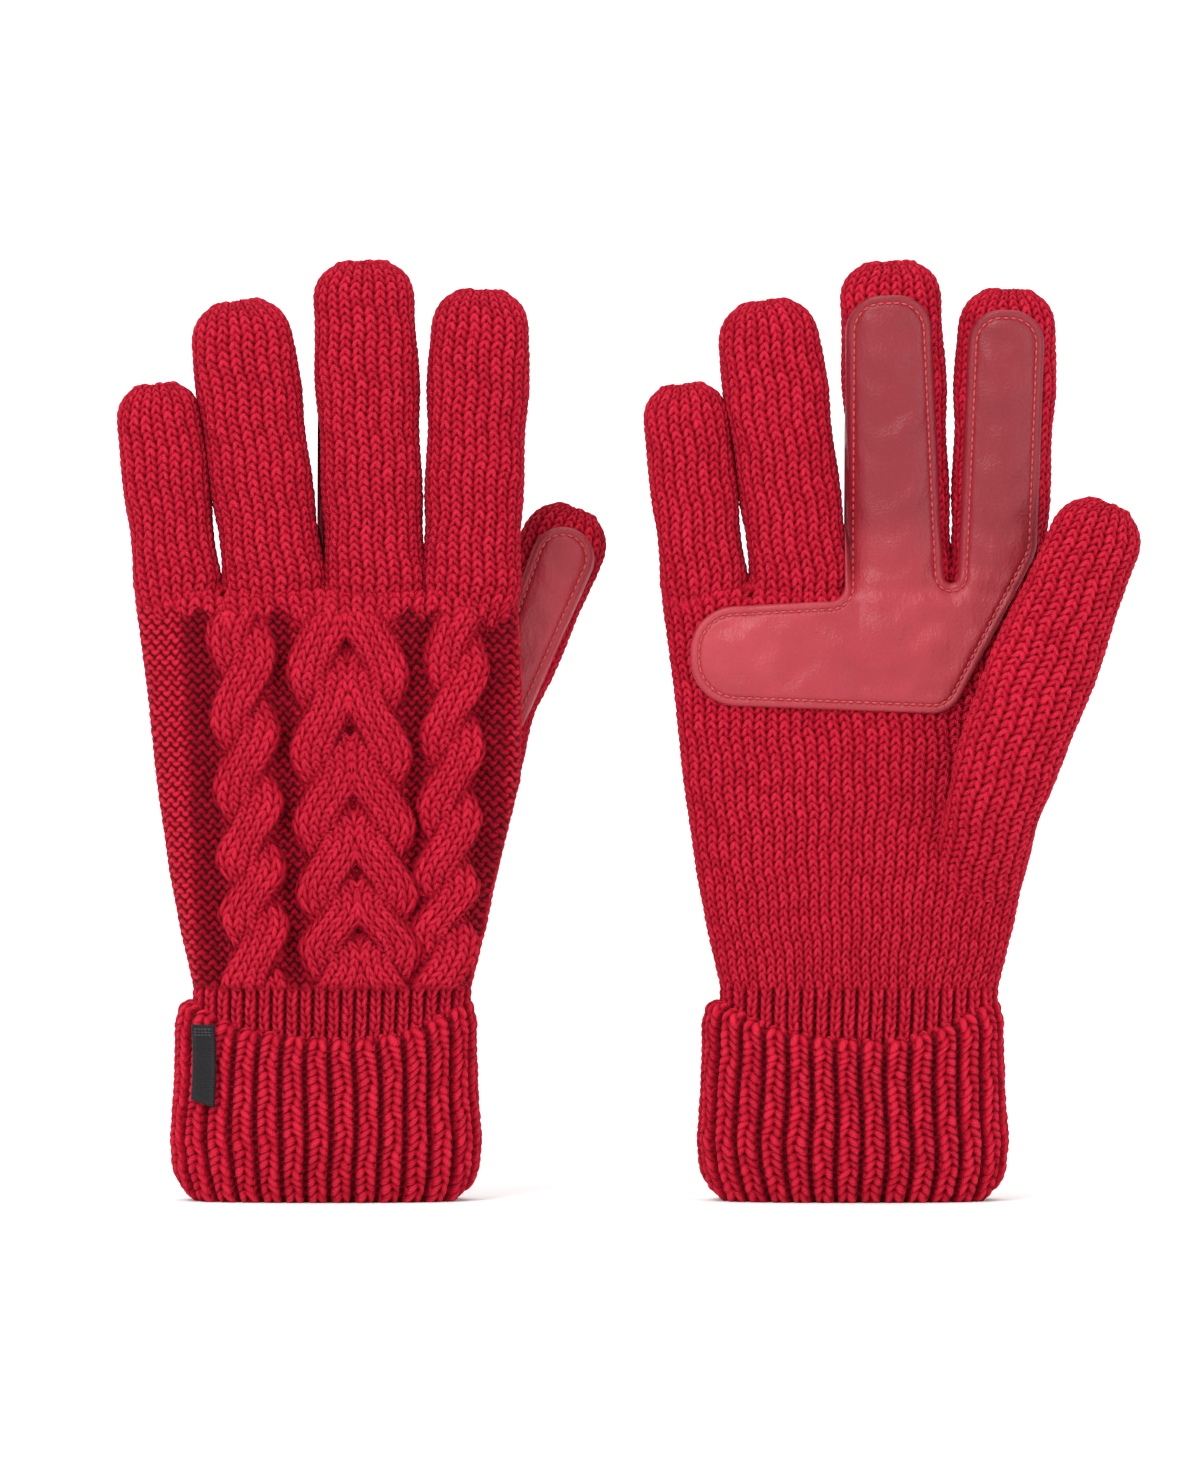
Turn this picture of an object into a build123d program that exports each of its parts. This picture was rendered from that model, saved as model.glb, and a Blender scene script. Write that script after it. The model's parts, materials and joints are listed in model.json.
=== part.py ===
"""A pair of knitted gloves with leather grip patches, standing upright on their turned-up cuffs.

+Z runs up the fingers, +X points to the thumb side of both gloves, and the gloves stand side by
side along X. The left-hand glove shows its back to -Y, the right-hand glove its palm.
The origin is the middle of the pair, at the level of the cuffs' folds. Millimetres.
"""
import os
from math import cos, radians, sin, tan

from build123d import *

# ---- Driving dimensions -------------------------------------------------------------------
KNIT = 2.6              # thickness of the knitted wall
LEATHER = 1.0           # thickness of the grip leather
THREAD = 0.4            # height that the topstitching stands out of the leather
THREAD_WIDTH = 0.8      # width of one line of topstitching
STITCH_INSET = 2.2      # topstitching's distance from the leather's edge
CONTACT = 0.05          # air between touching layers of one body
GAP = 0.3               # air between bodies that move past each other

CUFF_WIDTH = 82.0
CUFF_DEPTH = 38.0
CUFF_SIDE_HEIGHT = 52.0     # the turned-up edge is higher at the sides
CUFF_MIDDLE_HEIGHT = 41.5   # than in the middle of the front and the back
CUFF_WALL = 4.2             # a turned-up rib is two plies thick at its fold
CUFF_CORNER = 4.0           # rounding of the cuff's two lower corners
CUFF_FOLD = 2.5             # height of the fold that closes the cuff's lower edge

WRIST_FOOT = 3.0        # the inner wrist rib starts just above the fold
KNUCKLE_LINE = 164.0    # height of the crotches between the fingers

# Horizontal sections of the hand, upwards: height, left edge, right edge, depth
HAND_SECTIONS = [
    (WRIST_FOOT, -35.6, 35.6, 28.0),
    (54.0, -34.6, 35.6, 26.0),
    (106.0, -44.0, 49.4, 23.0),
    (150.0, -50.0, 51.0, 21.0),
    (161.5, -49.6, 50.4, 19.0),
]

# Fingers: x of the base, x and z of the tip, half width, depth, distance base to middle joint
FINGERS = {
    "little": (-39.4, -45.2, 216.0, 10.3, 17.6, 26.0),
    "ring": (-13.6, -23.6, 238.0, 12.6, 19.0, 36.0),
    "middle": (13.2, 9.6, 248.5, 12.3, 19.0, 40.0),
    "index": (38.4, 41.2, 241.0, 11.8, 19.0, 37.0),
}
KNUCKLE_RISE = 7.0      # knuckle hinge, above the crotch
KNUCKLE_BACK = 10.0     # degrees that a knuckle bends backwards
KNUCKLE_BEND = 70.0     # degrees that a knuckle bends towards the palm
MIDDLE_BEND = 80.0      # degrees that a middle joint bends
HINGE_SLACK = 1.0       # degrees left over at each end of a hinge's travel

THUMB_ROOT = (46.0, 133.0)  # x and z of the thumb's swing hinge
THUMB_TIP = (67.4, 186.0)   # x and z of the thumb's tip
THUMB_FRONT = 23.8          # the thumb's middle lies this far in front of the hand's middle
THUMB_HALF_WIDTH = 10.6
THUMB_DEPTH = 18.6
THUMB_JOINT = 29.0          # swing hinge to bending joint, along the thumb
THUMB_SWING = 35.0          # degrees that the thumb opens
THUMB_SWING_LEAN = 25.0     # its way out leans this much from the palm's plane to the front
THUMB_BEND = 40.0           # degrees that the thumb's end bends across the palm

# The gusset that carries the thumb, upwards: a section inside the palm, one below the hinge and
# one above it
GUSSET_START = (33.0, 84.0)     # x and z of its lowest section
GUSSET_START_SIZE = (24.0, 14.0)
GUSSET_DROP = 16.0              # hinge to its middle section, down the thumb
GUSSET_BACK = 7.0               # its middle section lies this far behind the thumb
GUSSET_SWELL = (3.0, 4.0)       # its middle section is this much wider and deeper
GUSSET_RISE = 8.0               # hinge to its top section

GLOVE_CENTRES = {"left": -79.6, "right": 60.0}   # x of the middle of each cuff
PALM_SIGN = {"left": 1, "right": -1}             # the palm's side, along Y
PAIR_CENTRE = 0.2                                # x of the middle of the pair

FAR = 60.0              # half size of a cutting block, larger than any section
ROOT_SINK = 14.0        # a finger's form reaches this far down into the hand
HOLLOW_SINK = 12.0      # and the space inside it this far
TIP_FLAT = 0.5          # half depth of the flat that a digit's rounded end keeps


def direction(base, tip):
    """Unit vector from base to tip, both (x, z), and its length."""
    line = Vector(tip[0] - base[0], 0, tip[1] - base[1])
    return line.normalized(), line.length


def across(along):
    """Unit vector across a digit, in the plane of the hand, towards the thumb's side."""
    return Vector(along.Z, 0, -along.X)


def digit_form(base, along, half_width, depth, length, grow, sink=0.0):
    """A digit's closed outer form: a slot section with a rounded end, grown outward by grow."""
    start = base - along * sink
    section = Plane(origin=start, x_dir=across(along), z_dir=along)
    with BuildPart() as form:
        with BuildSketch(section):
            SlotOverall(2 * (half_width + grow), depth + 2 * grow)
        extrude(amount=length + sink + grow)
        tip = form.faces().sort_by(Axis(start, along))[-1]
        fillet(tip.edges(), depth / 2 + grow - TIP_FLAT)
    return form.part


def hinge_region(hinge, along, bend, low, high, low_angles=(0, 0), high_angles=(0, 0)):
    """The stretch of a digit from low to high, measured along it from the hinge.

    Each end is a shallow roof with its ridge on the hinge line. Its two slopes are angles in
    degrees: first on the side that bend points to, then on the other side.
    """
    side = Plane(origin=hinge, x_dir=bend, z_dir=bend.cross(along))
    with BuildPart() as region:
        with BuildSketch(side):
            with BuildLine():
                Polyline(
                    (0, low),
                    (FAR / 2, low + FAR / 2 * tan(radians(low_angles[0]))),
                    (FAR / 2, high - FAR / 2 * tan(radians(high_angles[0]))),
                    (0, high),
                    (-FAR / 2, high - FAR / 2 * tan(radians(high_angles[1]))),
                    (-FAR / 2, low + FAR / 2 * tan(radians(low_angles[1]))),
                    close=True,
                )
            make_face()
        extrude(amount=FAR / 2, both=True)
    return region.part


class Digit:
    """One finger or thumb: its place, its sizes and the two hinges that cut it in three."""

    def __init__(self, base, tip, half_width, depth, front, hinges, bends, angles):
        self.along, self.length = direction(base, tip)
        self.base = Vector(base[0], front, base[1])
        self.half_width = half_width
        self.depth = depth
        self.hinges = hinges
        self.bends = bends
        self.angles = angles

    def form(self, grow, sink=0.0):
        return digit_form(
            self.base, self.along, self.half_width, self.depth, self.length, grow, sink
        )

    def at(self, distance):
        return self.base + self.along * distance

    def region(self, part):
        """The space of the digit's root, base or tip piece."""
        root, middle = self.hinges
        first, second = self.angles
        if part == "root":
            return hinge_region(
                self.at(root), self.along, self.bends[0], -FAR, -GAP, (0, 0), first
            )
        if part == "tip":
            return hinge_region(
                self.at(middle), self.along, self.bends[1], GAP, 2 * FAR, second, (0, 0)
            )
        lower = hinge_region(
            self.at(root), self.along, self.bends[0], GAP, 2 * FAR, first, (0, 0)
        )
        upper = hinge_region(
            self.at(middle), self.along, self.bends[1], -2 * FAR, -GAP, (0, 0), second
        )
        with BuildPart() as region:
            add(lower)
            add(upper, mode=Mode.INTERSECT)
        return region.part


def half_angles(forward, backward):
    """Slopes of the roof on each side of a hinge, from its travel in degrees."""
    return (forward / 2 + HINGE_SLACK, backward / 2 + HINGE_SLACK / 2)


def make_digits(palm):
    """The five digits of one glove, by name."""
    digits = {}
    to_palm = Vector(0, palm, 0)
    for name, (base_x, tip_x, tip_z, half_width, depth, middle) in FINGERS.items():
        digits[name] = Digit(
            (base_x, KNUCKLE_LINE),
            (tip_x, tip_z),
            half_width,
            depth,
            0.0,
            (KNUCKLE_RISE, middle),
            (to_palm, to_palm),
            (half_angles(KNUCKLE_BEND, KNUCKLE_BACK), half_angles(MIDDLE_BEND, 0)),
        )
    along, _ = direction(THUMB_ROOT, THUMB_TIP)
    outward = across(along)
    swing = outward * cos(radians(THUMB_SWING_LEAN)) + to_palm * sin(radians(THUMB_SWING_LEAN))
    digits["thumb"] = Digit(
        THUMB_ROOT,
        THUMB_TIP,
        THUMB_HALF_WIDTH,
        THUMB_DEPTH,
        palm * THUMB_FRONT,
        (0.0, THUMB_JOINT),
        (swing, outward * -1),
        (half_angles(THUMB_SWING, 0), half_angles(THUMB_BEND, 0)),
    )
    return digits


def hand_form(grow, top):
    """Wrist and palm as a ruled loft through slot sections, grown outward by grow."""
    with BuildPart() as form:
        for height, left, right, depth in HAND_SECTIONS:
            level = top if height == HAND_SECTIONS[-1][0] else height
            with BuildSketch(Plane.XY.offset(level)):
                with Locations(((left + right) / 2, 0)):
                    SlotOverall(right - left + 2 * grow, depth + 2 * grow)
        loft(ruled=True)
    return form.part


def thumb_root_form(palm, grow):
    """The gusset that carries the thumb: it swells out of the palm up to the swing hinge."""
    along, _ = direction(THUMB_ROOT, THUMB_TIP)
    hinge = Vector(THUMB_ROOT[0], palm * THUMB_FRONT, THUMB_ROOT[1])
    start_x, start_height = GUSSET_START
    width, depth = GUSSET_START_SIZE
    wider, deeper = GUSSET_SWELL
    with BuildPart() as form:
        with BuildSketch(Plane.XY.offset(start_height)):
            with Locations((start_x, 0)):
                SlotOverall(width + 2 * grow, depth + 2 * grow)
        middle = hinge - along * GUSSET_DROP - Vector(0, palm * GUSSET_BACK, 0)
        with BuildSketch(Plane(origin=middle, x_dir=across(along), z_dir=along)):
            SlotOverall(2 * (THUMB_HALF_WIDTH + grow) + wider, THUMB_DEPTH + deeper + 2 * grow)
        above = hinge + along * GUSSET_RISE
        with BuildSketch(Plane(origin=above, x_dir=across(along), z_dir=along)):
            SlotOverall(2 * (THUMB_HALF_WIDTH + grow), THUMB_DEPTH + 2 * grow)
        loft(ruled=True)
    return form.part


def glove_root_form(digits, palm, grow, with_thumb):
    """What lies below the hinges, closed: wrist, palm, finger roots and the thumb's gusset."""
    roots = []
    for name in FINGERS:
        with BuildPart() as finger_root:
            add(digits[name].form(grow, sink=ROOT_SINK))
            add(digits[name].region("root"), mode=Mode.INTERSECT)
        roots.append(finger_root.part)
    if with_thumb:
        with BuildPart() as gusset:
            add(thumb_root_form(palm, grow))
            add(digits["thumb"].region("root"), mode=Mode.INTERSECT)
        roots.append(gusset.part)
    with BuildPart() as form:
        add(hand_form(grow, HAND_SECTIONS[-1][0] + grow))
        for root in roots:
            add(root)
    return form.part


def make_hand(digits, palm):
    """Knitted wrist rib, hand and finger roots in one hollow piece, open at every end."""
    outside = glove_root_form(digits, palm, 0.0, True)
    with BuildPart() as hand:
        add(outside)
        add(hand_form(-KNIT, HAND_SECTIONS[-1][0] - KNIT), mode=Mode.SUBTRACT)
        for name in FINGERS:
            add(digits[name].form(-KNIT, sink=HOLLOW_SINK), mode=Mode.SUBTRACT)
        add(thumb_root_form(palm, -KNIT), mode=Mode.SUBTRACT)
    return hand.part


def make_digit_knit(digit, part):
    """One knitted length of a finger: a tube below the middle joint, a closed end above it."""
    with BuildPart() as knit:
        add(digit.form(0.0))
        add(digit.form(-KNIT), mode=Mode.SUBTRACT)
        add(digit.region(part), mode=Mode.INTERSECT)
    return knit.part


# ---- Grip leather and its topstitching ----------------------------------------------------
# Half width, sideways shift and the two ends of each digit's strip, from the digit's base
STRIPS = {
    "middle": (11.2, -0.9, -40.0, 75.5),
    "index": (10.2, -0.4, -40.0, 71.5),
    "thumb": (8.6, 0.0, 2.0, 52.0),
}
STRIP_CORNER = 6.5

# Outline of the palm's leather, seen on the hand: lower edge, lobe under the ring and little
# fingers, roots of the middle and index strips, and the edge that runs down beside the thumb
PALM_POINTS = [
    (-27.0, 127.5),
    (-42.0, 131.5),
    (-43.5, 149.0),
    (-31.5, 156.4),
    (-1.6, 156.4),
    (-2.2, 180.0),
    (20.4, 180.0),
    (20.8, 162.0),
    (24.2, 162.0),
    (27.4, 180.0),
    (48.6, 180.0),
    (45.4, 166.0),
    (26.0, 128.5),
    (2.7, 126.0),
]
PALM_CORNER = 1.4


def palm_outline(inset):
    """The palm leather's outline, moved inwards by inset."""
    with BuildSketch(Plane.XZ) as outline:
        with BuildLine():
            Polyline(*PALM_POINTS, close=True)
        make_face()
        fillet(outline.vertices(), PALM_CORNER)
        if inset > 0:
            offset(amount=-inset)
    return outline.sketch


def strip_outline(digit, strip, inset):
    """A digit strip's outline, moved inwards by inset."""
    half_width, shift, low, high = strip
    front = Plane(origin=digit.base, x_dir=across(digit.along), z_dir=(0, -1, 0))
    with BuildSketch(front) as outline:
        with Locations((shift, (low + high) / 2)):
            RectangleRounded(2 * (half_width - inset), high - low - 2 * inset, STRIP_CORNER - inset)
    return outline.sketch


def prism(outline, hole, side):
    """An outline carried out along Y towards side, less an inner outline."""
    with BuildPart() as block:
        add(outline)
        extrude(amount=FAR, dir=(0, side, 0))
        if hole is not None:
            extrude(hole, amount=FAR, dir=(0, side, 0), mode=Mode.SUBTRACT)
    return block.part


def layer(form_at, low, high, block):
    """A skin between two offsets of a form, cut to a block."""
    with BuildPart() as skin:
        add(form_at(high))
        add(form_at(low), mode=Mode.SUBTRACT)
        add(block, mode=Mode.INTERSECT)
    return skin.part


def make_palm_skins(digits, palm):
    """The palm's leather and the line of thread round it."""

    def form_at(grow):
        return glove_root_form(digits, palm, grow, False)

    clear = thumb_root_form(palm, LEATHER)
    skins = []
    edge = STITCH_INSET
    lines = prism(palm_outline(edge), palm_outline(edge + THREAD_WIDTH), palm)
    for low, high, block in (
        (CONTACT, CONTACT + LEATHER, prism(palm_outline(0), None, palm)),
        (2 * CONTACT + LEATHER, 2 * CONTACT + LEATHER + THREAD, lines),
    ):
        with BuildPart() as skin:
            add(layer(form_at, low, high, block))
            add(clear, mode=Mode.SUBTRACT)
        skins.append(skin.part)
    return skins


def make_strip_skins(digit, name, part, side):
    """A digit's leather on one side of its middle joint, and its lines of thread."""
    strip = STRIPS[name]
    edge = STITCH_INSET
    lines = prism(
        strip_outline(digit, strip, edge), strip_outline(digit, strip, edge + THREAD_WIDTH), side
    )
    skins = []
    for low, high, block in (
        (CONTACT, CONTACT + LEATHER, prism(strip_outline(digit, strip, 0), None, side)),
        (2 * CONTACT + LEATHER, 2 * CONTACT + LEATHER + THREAD, lines),
    ):
        with BuildPart() as skin:
            add(layer(digit.form, low, high, block))
            add(digit.region(part), mode=Mode.INTERSECT)
        skins.append(skin.part)
    return skins


# ---- Turned-up cuff and label -------------------------------------------------------------
LABEL_X = -32.0         # middle of the label, from the middle of the cuff
LABEL_WIDTH = 6.4
LABEL_LOW = 25.0
LABEL_HIGH = 47.0
LABEL_THICKNESS = 0.8
LABEL_BAR_INSET = 1.5   # a bar of thread lies this far in from each end of the label
LABEL_BAR_MARGIN = 0.6  # and stops this far short of its long edges


def cuff_form(grow):
    """The cuff's closed outer form, with its dipped upper edge and rounded lower corners."""
    half = CUFF_WIDTH / 2 + grow
    with BuildPart() as form:
        with BuildSketch():
            SlotOverall(2 * half, CUFF_DEPTH + 2 * grow)
        extrude(amount=CUFF_SIDE_HEIGHT)
        with BuildSketch(Plane.XZ) as front:
            with BuildLine():
                Line((-half, CUFF_SIDE_HEIGHT), (-half, 0))
                Line((-half, 0), (half, 0))
                Line((half, 0), (half, CUFF_SIDE_HEIGHT))
                ThreePointArc(
                    (half, CUFF_SIDE_HEIGHT), (0, CUFF_MIDDLE_HEIGHT), (-half, CUFF_SIDE_HEIGHT)
                )
            make_face()
            fillet(front.vertices().group_by(Axis.Z)[0], CUFF_CORNER)
        extrude(amount=FAR, both=True, mode=Mode.INTERSECT)
    return form.part


def make_cuff():
    """A turned-up rib: an open sleeve on a fold whose hole is the glove's way in."""
    _, left, right, depth = HAND_SECTIONS[0]
    with BuildPart() as cuff:
        add(cuff_form(0.0))
        with BuildSketch(Plane.XY.offset(CUFF_FOLD)):
            SlotOverall(CUFF_WIDTH - 2 * CUFF_WALL, CUFF_DEPTH - 2 * CUFF_WALL)
        extrude(amount=CUFF_SIDE_HEIGHT, mode=Mode.SUBTRACT)
        with BuildSketch():
            SlotOverall(right - left - 2 * KNIT, depth - 2 * KNIT)
        extrude(amount=CUFF_FOLD, mode=Mode.SUBTRACT)
    return cuff.part


def make_label(front):
    """A woven label and the two bars of thread that hold its ends, on the cuff's front."""
    middle = (LABEL_LOW + LABEL_HIGH) / 2
    with BuildSketch(Plane.XZ) as face:
        with Locations((LABEL_X, middle)):
            Rectangle(LABEL_WIDTH, LABEL_HIGH - LABEL_LOW)
    with BuildSketch(Plane.XZ) as bars:
        with Locations(
            (LABEL_X, LABEL_LOW + LABEL_BAR_INSET), (LABEL_X, LABEL_HIGH - LABEL_BAR_INSET)
        ):
            Rectangle(LABEL_WIDTH - 2 * LABEL_BAR_MARGIN, THREAD_WIDTH)
    top = CONTACT + LABEL_THICKNESS
    label = layer(cuff_form, CONTACT, top, prism(face.sketch, None, front))
    thread = layer(cuff_form, top + CONTACT, top + THREAD, prism(bars.sketch, None, front))
    return label, thread


# ---- The pair -----------------------------------------------------------------------------
def export(part, name, glove):
    """Move a finished piece to its glove's place in the pair and write it."""
    with BuildPart() as placed:
        add(part.moved(Location((GLOVE_CENTRES[glove] - PAIR_CENTRE, 0, 0))))
    placed.part.label = name
    export_step(placed.part, f"parts/{name}.step")


def make_glove(glove):
    palm = PALM_SIGN[glove]
    digits = make_digits(palm)
    export(make_cuff(), f"{glove}_cuff", glove)
    export(make_hand(digits, palm), f"{glove}_hand", glove)
    leather, thread = make_palm_skins(digits, palm)
    export(leather, f"{glove}_palm_leather", glove)
    export(thread, f"{glove}_palm_thread", glove)
    for name, digit in digits.items():
        for part in ("base", "tip"):
            export(make_digit_knit(digit, part), f"{glove}_{name}_{part}", glove)
            if name in STRIPS:
                side = -palm if name == "thumb" else palm
                leather, thread = make_strip_skins(digit, name, part, side)
                export(leather, f"{glove}_{name}_{part}_leather", glove)
                export(thread, f"{glove}_{name}_{part}_thread", glove)


os.makedirs("parts", exist_ok=True)
for glove in GLOVE_CENTRES:
    make_glove(glove)
label, label_thread = make_label(-1)
export(label, "left_cuff_label", "left")
export(label_thread, "left_cuff_label_thread", "left")
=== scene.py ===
"""A pair of cable-knit gloves with leather grip patches: every stitch, cable, rib and seam is
geometry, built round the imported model. Lengths are millimetres until a mesh is made."""

import json
from math import cos, pi, radians

import bpy
import numpy as np
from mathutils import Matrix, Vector
from mathutils.geometry import delaunay_2d_cdt


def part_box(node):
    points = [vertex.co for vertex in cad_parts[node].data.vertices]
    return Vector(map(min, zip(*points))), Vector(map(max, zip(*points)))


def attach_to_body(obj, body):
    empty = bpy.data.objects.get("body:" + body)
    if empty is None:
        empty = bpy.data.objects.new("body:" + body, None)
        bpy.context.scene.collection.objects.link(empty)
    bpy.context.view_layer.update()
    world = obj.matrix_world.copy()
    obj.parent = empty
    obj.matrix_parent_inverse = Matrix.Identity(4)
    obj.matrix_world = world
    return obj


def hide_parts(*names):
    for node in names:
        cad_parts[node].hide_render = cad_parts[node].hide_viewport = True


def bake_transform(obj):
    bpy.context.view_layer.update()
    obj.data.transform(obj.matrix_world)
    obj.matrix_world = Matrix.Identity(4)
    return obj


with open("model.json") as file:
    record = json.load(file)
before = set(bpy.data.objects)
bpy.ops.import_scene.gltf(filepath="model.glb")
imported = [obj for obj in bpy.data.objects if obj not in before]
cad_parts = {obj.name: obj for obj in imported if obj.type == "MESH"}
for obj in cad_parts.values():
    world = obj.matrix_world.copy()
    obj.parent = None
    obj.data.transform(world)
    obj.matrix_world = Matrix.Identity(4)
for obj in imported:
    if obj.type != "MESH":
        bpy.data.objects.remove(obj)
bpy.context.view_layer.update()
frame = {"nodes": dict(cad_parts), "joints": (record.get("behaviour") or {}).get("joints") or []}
MM = 0.001

# ---- Gauge of the knitting, in millimetres --------------------------------------------------
WALE = 3.35             # width of one stitch on the palm and the fingers
COURSE = 2.15           # height of one stitch
CABLE_WALE = 2.9        # the back is drawn in by its cables
CABLE_COURSE = 2.15
RIB_PITCH = 6.9         # one raised and one sunken stitch of the cuff
STITCH_RELIEF = 1.15    # peak to valley of a stitch
DETAIL = 0.40           # spacing of mesh points on plain knitting
FINE_DETAIL = 0.31      # and on the back, whose stitches are smaller

# ---- The pair, read from the frame ----------------------------------------------------------
JOINTS = {j["name"]: j for j in frame["joints"]}
FINGERS = ("little", "ring", "middle", "index")
KNUCKLE_RISE = 7.0      # the knuckle hinge lies this far above the fingers' crotches
# Half width and half depth of each knitted digit, over the peaks of its stitches
DIGIT_SIZES = {
    "little": (11.5, 8.9),
    "ring": (13.6, 9.9),
    "middle": (13.5, 9.9),
    "index": (13.2, 9.8),
    "thumb": (12.3, 9.8),
}
TRIM = {"thumb": 2.5}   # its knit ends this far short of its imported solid


class Glove:
    """One glove's place: local x from the middle of its cuff, local y towards its palm."""

    def __init__(self, side):
        self.side = side
        low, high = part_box(f"{side}_cuff")
        self.centre = (low.x + high.x) / 2 / MM
        self.palm = 1 if JOINTS[f"{side}_thumb_swing"]["pos_m"][1] > 0 else -1

    def local(self, point):
        return np.array([point[0] / MM - self.centre, point[1] / MM * self.palm, point[2] / MM])

    def world(self, points):
        """Local millimetres to metres in the row frame."""
        place = np.asarray(points, float) * np.array([1.0, self.palm, 1.0])
        return (place + np.array([self.centre, 0.0, 0.0])) * MM


class Digit:
    """A digit's axis, hinges and reach, in its glove's local millimetres."""

    def __init__(self, glove, name):
        ends = ("swing", "bend") if name == "thumb" else ("knuckle", "middle_joint")
        hinges = [glove.local(JOINTS[f"{glove.side}_{name}_{end}"]["pos_m"]) for end in ends]
        self.name = name
        self.hinge = hinges[0]
        self.span = np.linalg.norm(hinges[1] - hinges[0])
        self.along = (hinges[1] - hinges[0]) / self.span
        self.across = np.array([self.along[2], 0.0, -self.along[0]])
        node = frame["nodes"][f"{glove.side}_{name}_tip"]
        points = np.array([glove.local(v.co) for v in node.data.vertices])
        self.reach = ((points - self.hinge) @ self.along).max() - TRIM.get(name, 0.0)
        self.half_width, self.half_depth = DIGIT_SIZES[name]

    def at(self, distance):
        return self.hinge + self.along * distance

    def place(self, x, z):
        """Where x and z lie, seen from the front: how far across the digit and along it."""
        dx, dz = x - self.hinge[0], z - self.hinge[2]
        return dx * self.along[2] - dz * self.along[0], dx * self.along[0] + dz * self.along[2]

    def stretch(self, distance):
        """A finger's width at a distance from its knuckle, as a share of its full width."""
        crotch = -KNUCKLE_RISE
        places = (crotch - 14, crotch - 5, crotch, 8, 0.62 * self.reach, self.reach)
        return np.interp(distance, places, (0.62, 0.93, 1.04, 0.975, 1.03, 1.0))


# ---- Stitches as height fields --------------------------------------------------------------
def scatter(i, j, k=0.0):
    """A repeatable scatter of numbers from 0 to 1, one for each stitch."""
    x = np.sin(i * 127.1 + j * 311.7 + k * 74.7) * 43758.5453
    return x - np.floor(x)


def smooth(low, high, x):
    t = np.clip((x - low) / (high - low), 0.0, 1.0)
    return t * t * (3 - 2 * t)


def sway(u, v):
    """Hand-knitted unevenness: a slow drift of the wales and courses, in stitches."""
    du = 0.10 * np.sin(v * 0.83 + 1.7 * np.sin(u * 0.31)) + 0.05 * np.sin(v * 2.1 + u * 1.3)
    dv = 0.12 * np.sin(u * 1.07 + 1.3 * np.sin(v * 0.23)) + 0.05 * np.sin(u * 2.7 + v * 0.9)
    return u + du, v + dv


def take_higher(best, new):
    """Of two stitch fields, the values of the one that stands higher at each point."""
    higher = new[0] > best[0]
    return tuple(np.where(higher, b, a) for a, b in zip(best, new))


LEG_SLANT = radians(25)     # how far a stitch's legs lean from upright
LEG_LENGTH, LEG_WIDTH = 0.80, 0.235   # half sizes of a leg, in courses and in wales


def stocking(u, v):
    """Stocking stitch: a V of two yarn legs in every wale and course.

    Returns the height from 0 to 1, the place across and along the yarn, and the leg's number.
    """
    u, v = sway(u, v)
    wale = np.floor(u)
    s = u - wale - 0.5
    side = np.where(s < 0, -1.0, 1.0)
    q = np.abs(s) * WALE / COURSE
    row0 = np.floor(v)
    best = (np.zeros_like(u),) * 4
    for step in (-1, 0, 1):
        row = row0 + step
        luck = scatter(wale, row, side)
        p = q - 0.425 - 0.05 * (luck - 0.5)
        t = v - row - 0.5
        length = (p * np.sin(LEG_SLANT) + t * np.cos(LEG_SLANT)) / (LEG_LENGTH + 0.06 * luck)
        width = (p * np.cos(LEG_SLANT) - t * np.sin(LEG_SLANT)) / (LEG_WIDTH * WALE / COURSE)
        dome = np.sqrt(np.clip(1 - width * width - np.abs(length) ** 2.6, 0, None))
        rise = dome * (0.88 + 0.14 * luck) + 0.16 * length * (dome > 0)
        best = take_higher(best, (rise, width * side, length, luck))
    return np.clip(best[0], 0, 1.1), *best[1:]


def purl(u, v):
    """Reverse stocking stitch: rows of interlocked bars that arch up and down in turn."""
    u, v = sway(u, v)
    best = (np.zeros_like(u),) * 4
    for shift, arch, offset in ((0.0, 0.30, 0.32), (0.5, -0.30, 0.78)):
        column = np.round(u - shift)
        du = (u - shift - column) / 0.46
        for step in (-1, 0, 1):
            row = np.floor(v) + step
            luck = scatter(column, row, shift + 3)
            dv = (v - row - offset + arch * du * du) / 0.30
            dome = np.sqrt(np.clip(1 - np.abs(du) ** 2.5 - dv * dv, 0, None))
            rise = dome * (0.9 + 0.15 * luck)
            best = take_higher(best, (rise, dv, du, luck))
    return best


def mix(first, second, share):
    """Two stitch fields, cross-faded."""
    return tuple(a * (1 - share) + b * share for a, b in zip(first, second))


def rib(u, v):
    """One by one rib: a raised wale of V stitches, then a sunken wale of bars; u counts ribs.

    Returns the stitch field and the height of the rib itself, from 0 to 1.
    """
    phase = u - np.floor(u)
    raised = np.clip(1 - (np.abs(phase - 0.5) / 0.42) ** 4.0, 0, None) ** 0.5
    knit = stocking(np.floor(u) + 0.5 + (phase - 0.5) / 0.80, v)
    bars = purl(u * 2.0, v)
    inside = (np.abs(phase - 0.5) < 0.395).astype(float)
    return mix(bars, knit, inside), raised


STRAND_SWING, STRAND_BREADTH = 0.40, 0.60      # as shares of a cable's half width
STRAND_DOME, CROSSING_RISE = 2.3, 1.5          # millimetres
NOWHERE = -9.0          # relief where a cable has no strand
COVERED = -5.0          # relief above this belongs to a strand


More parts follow.
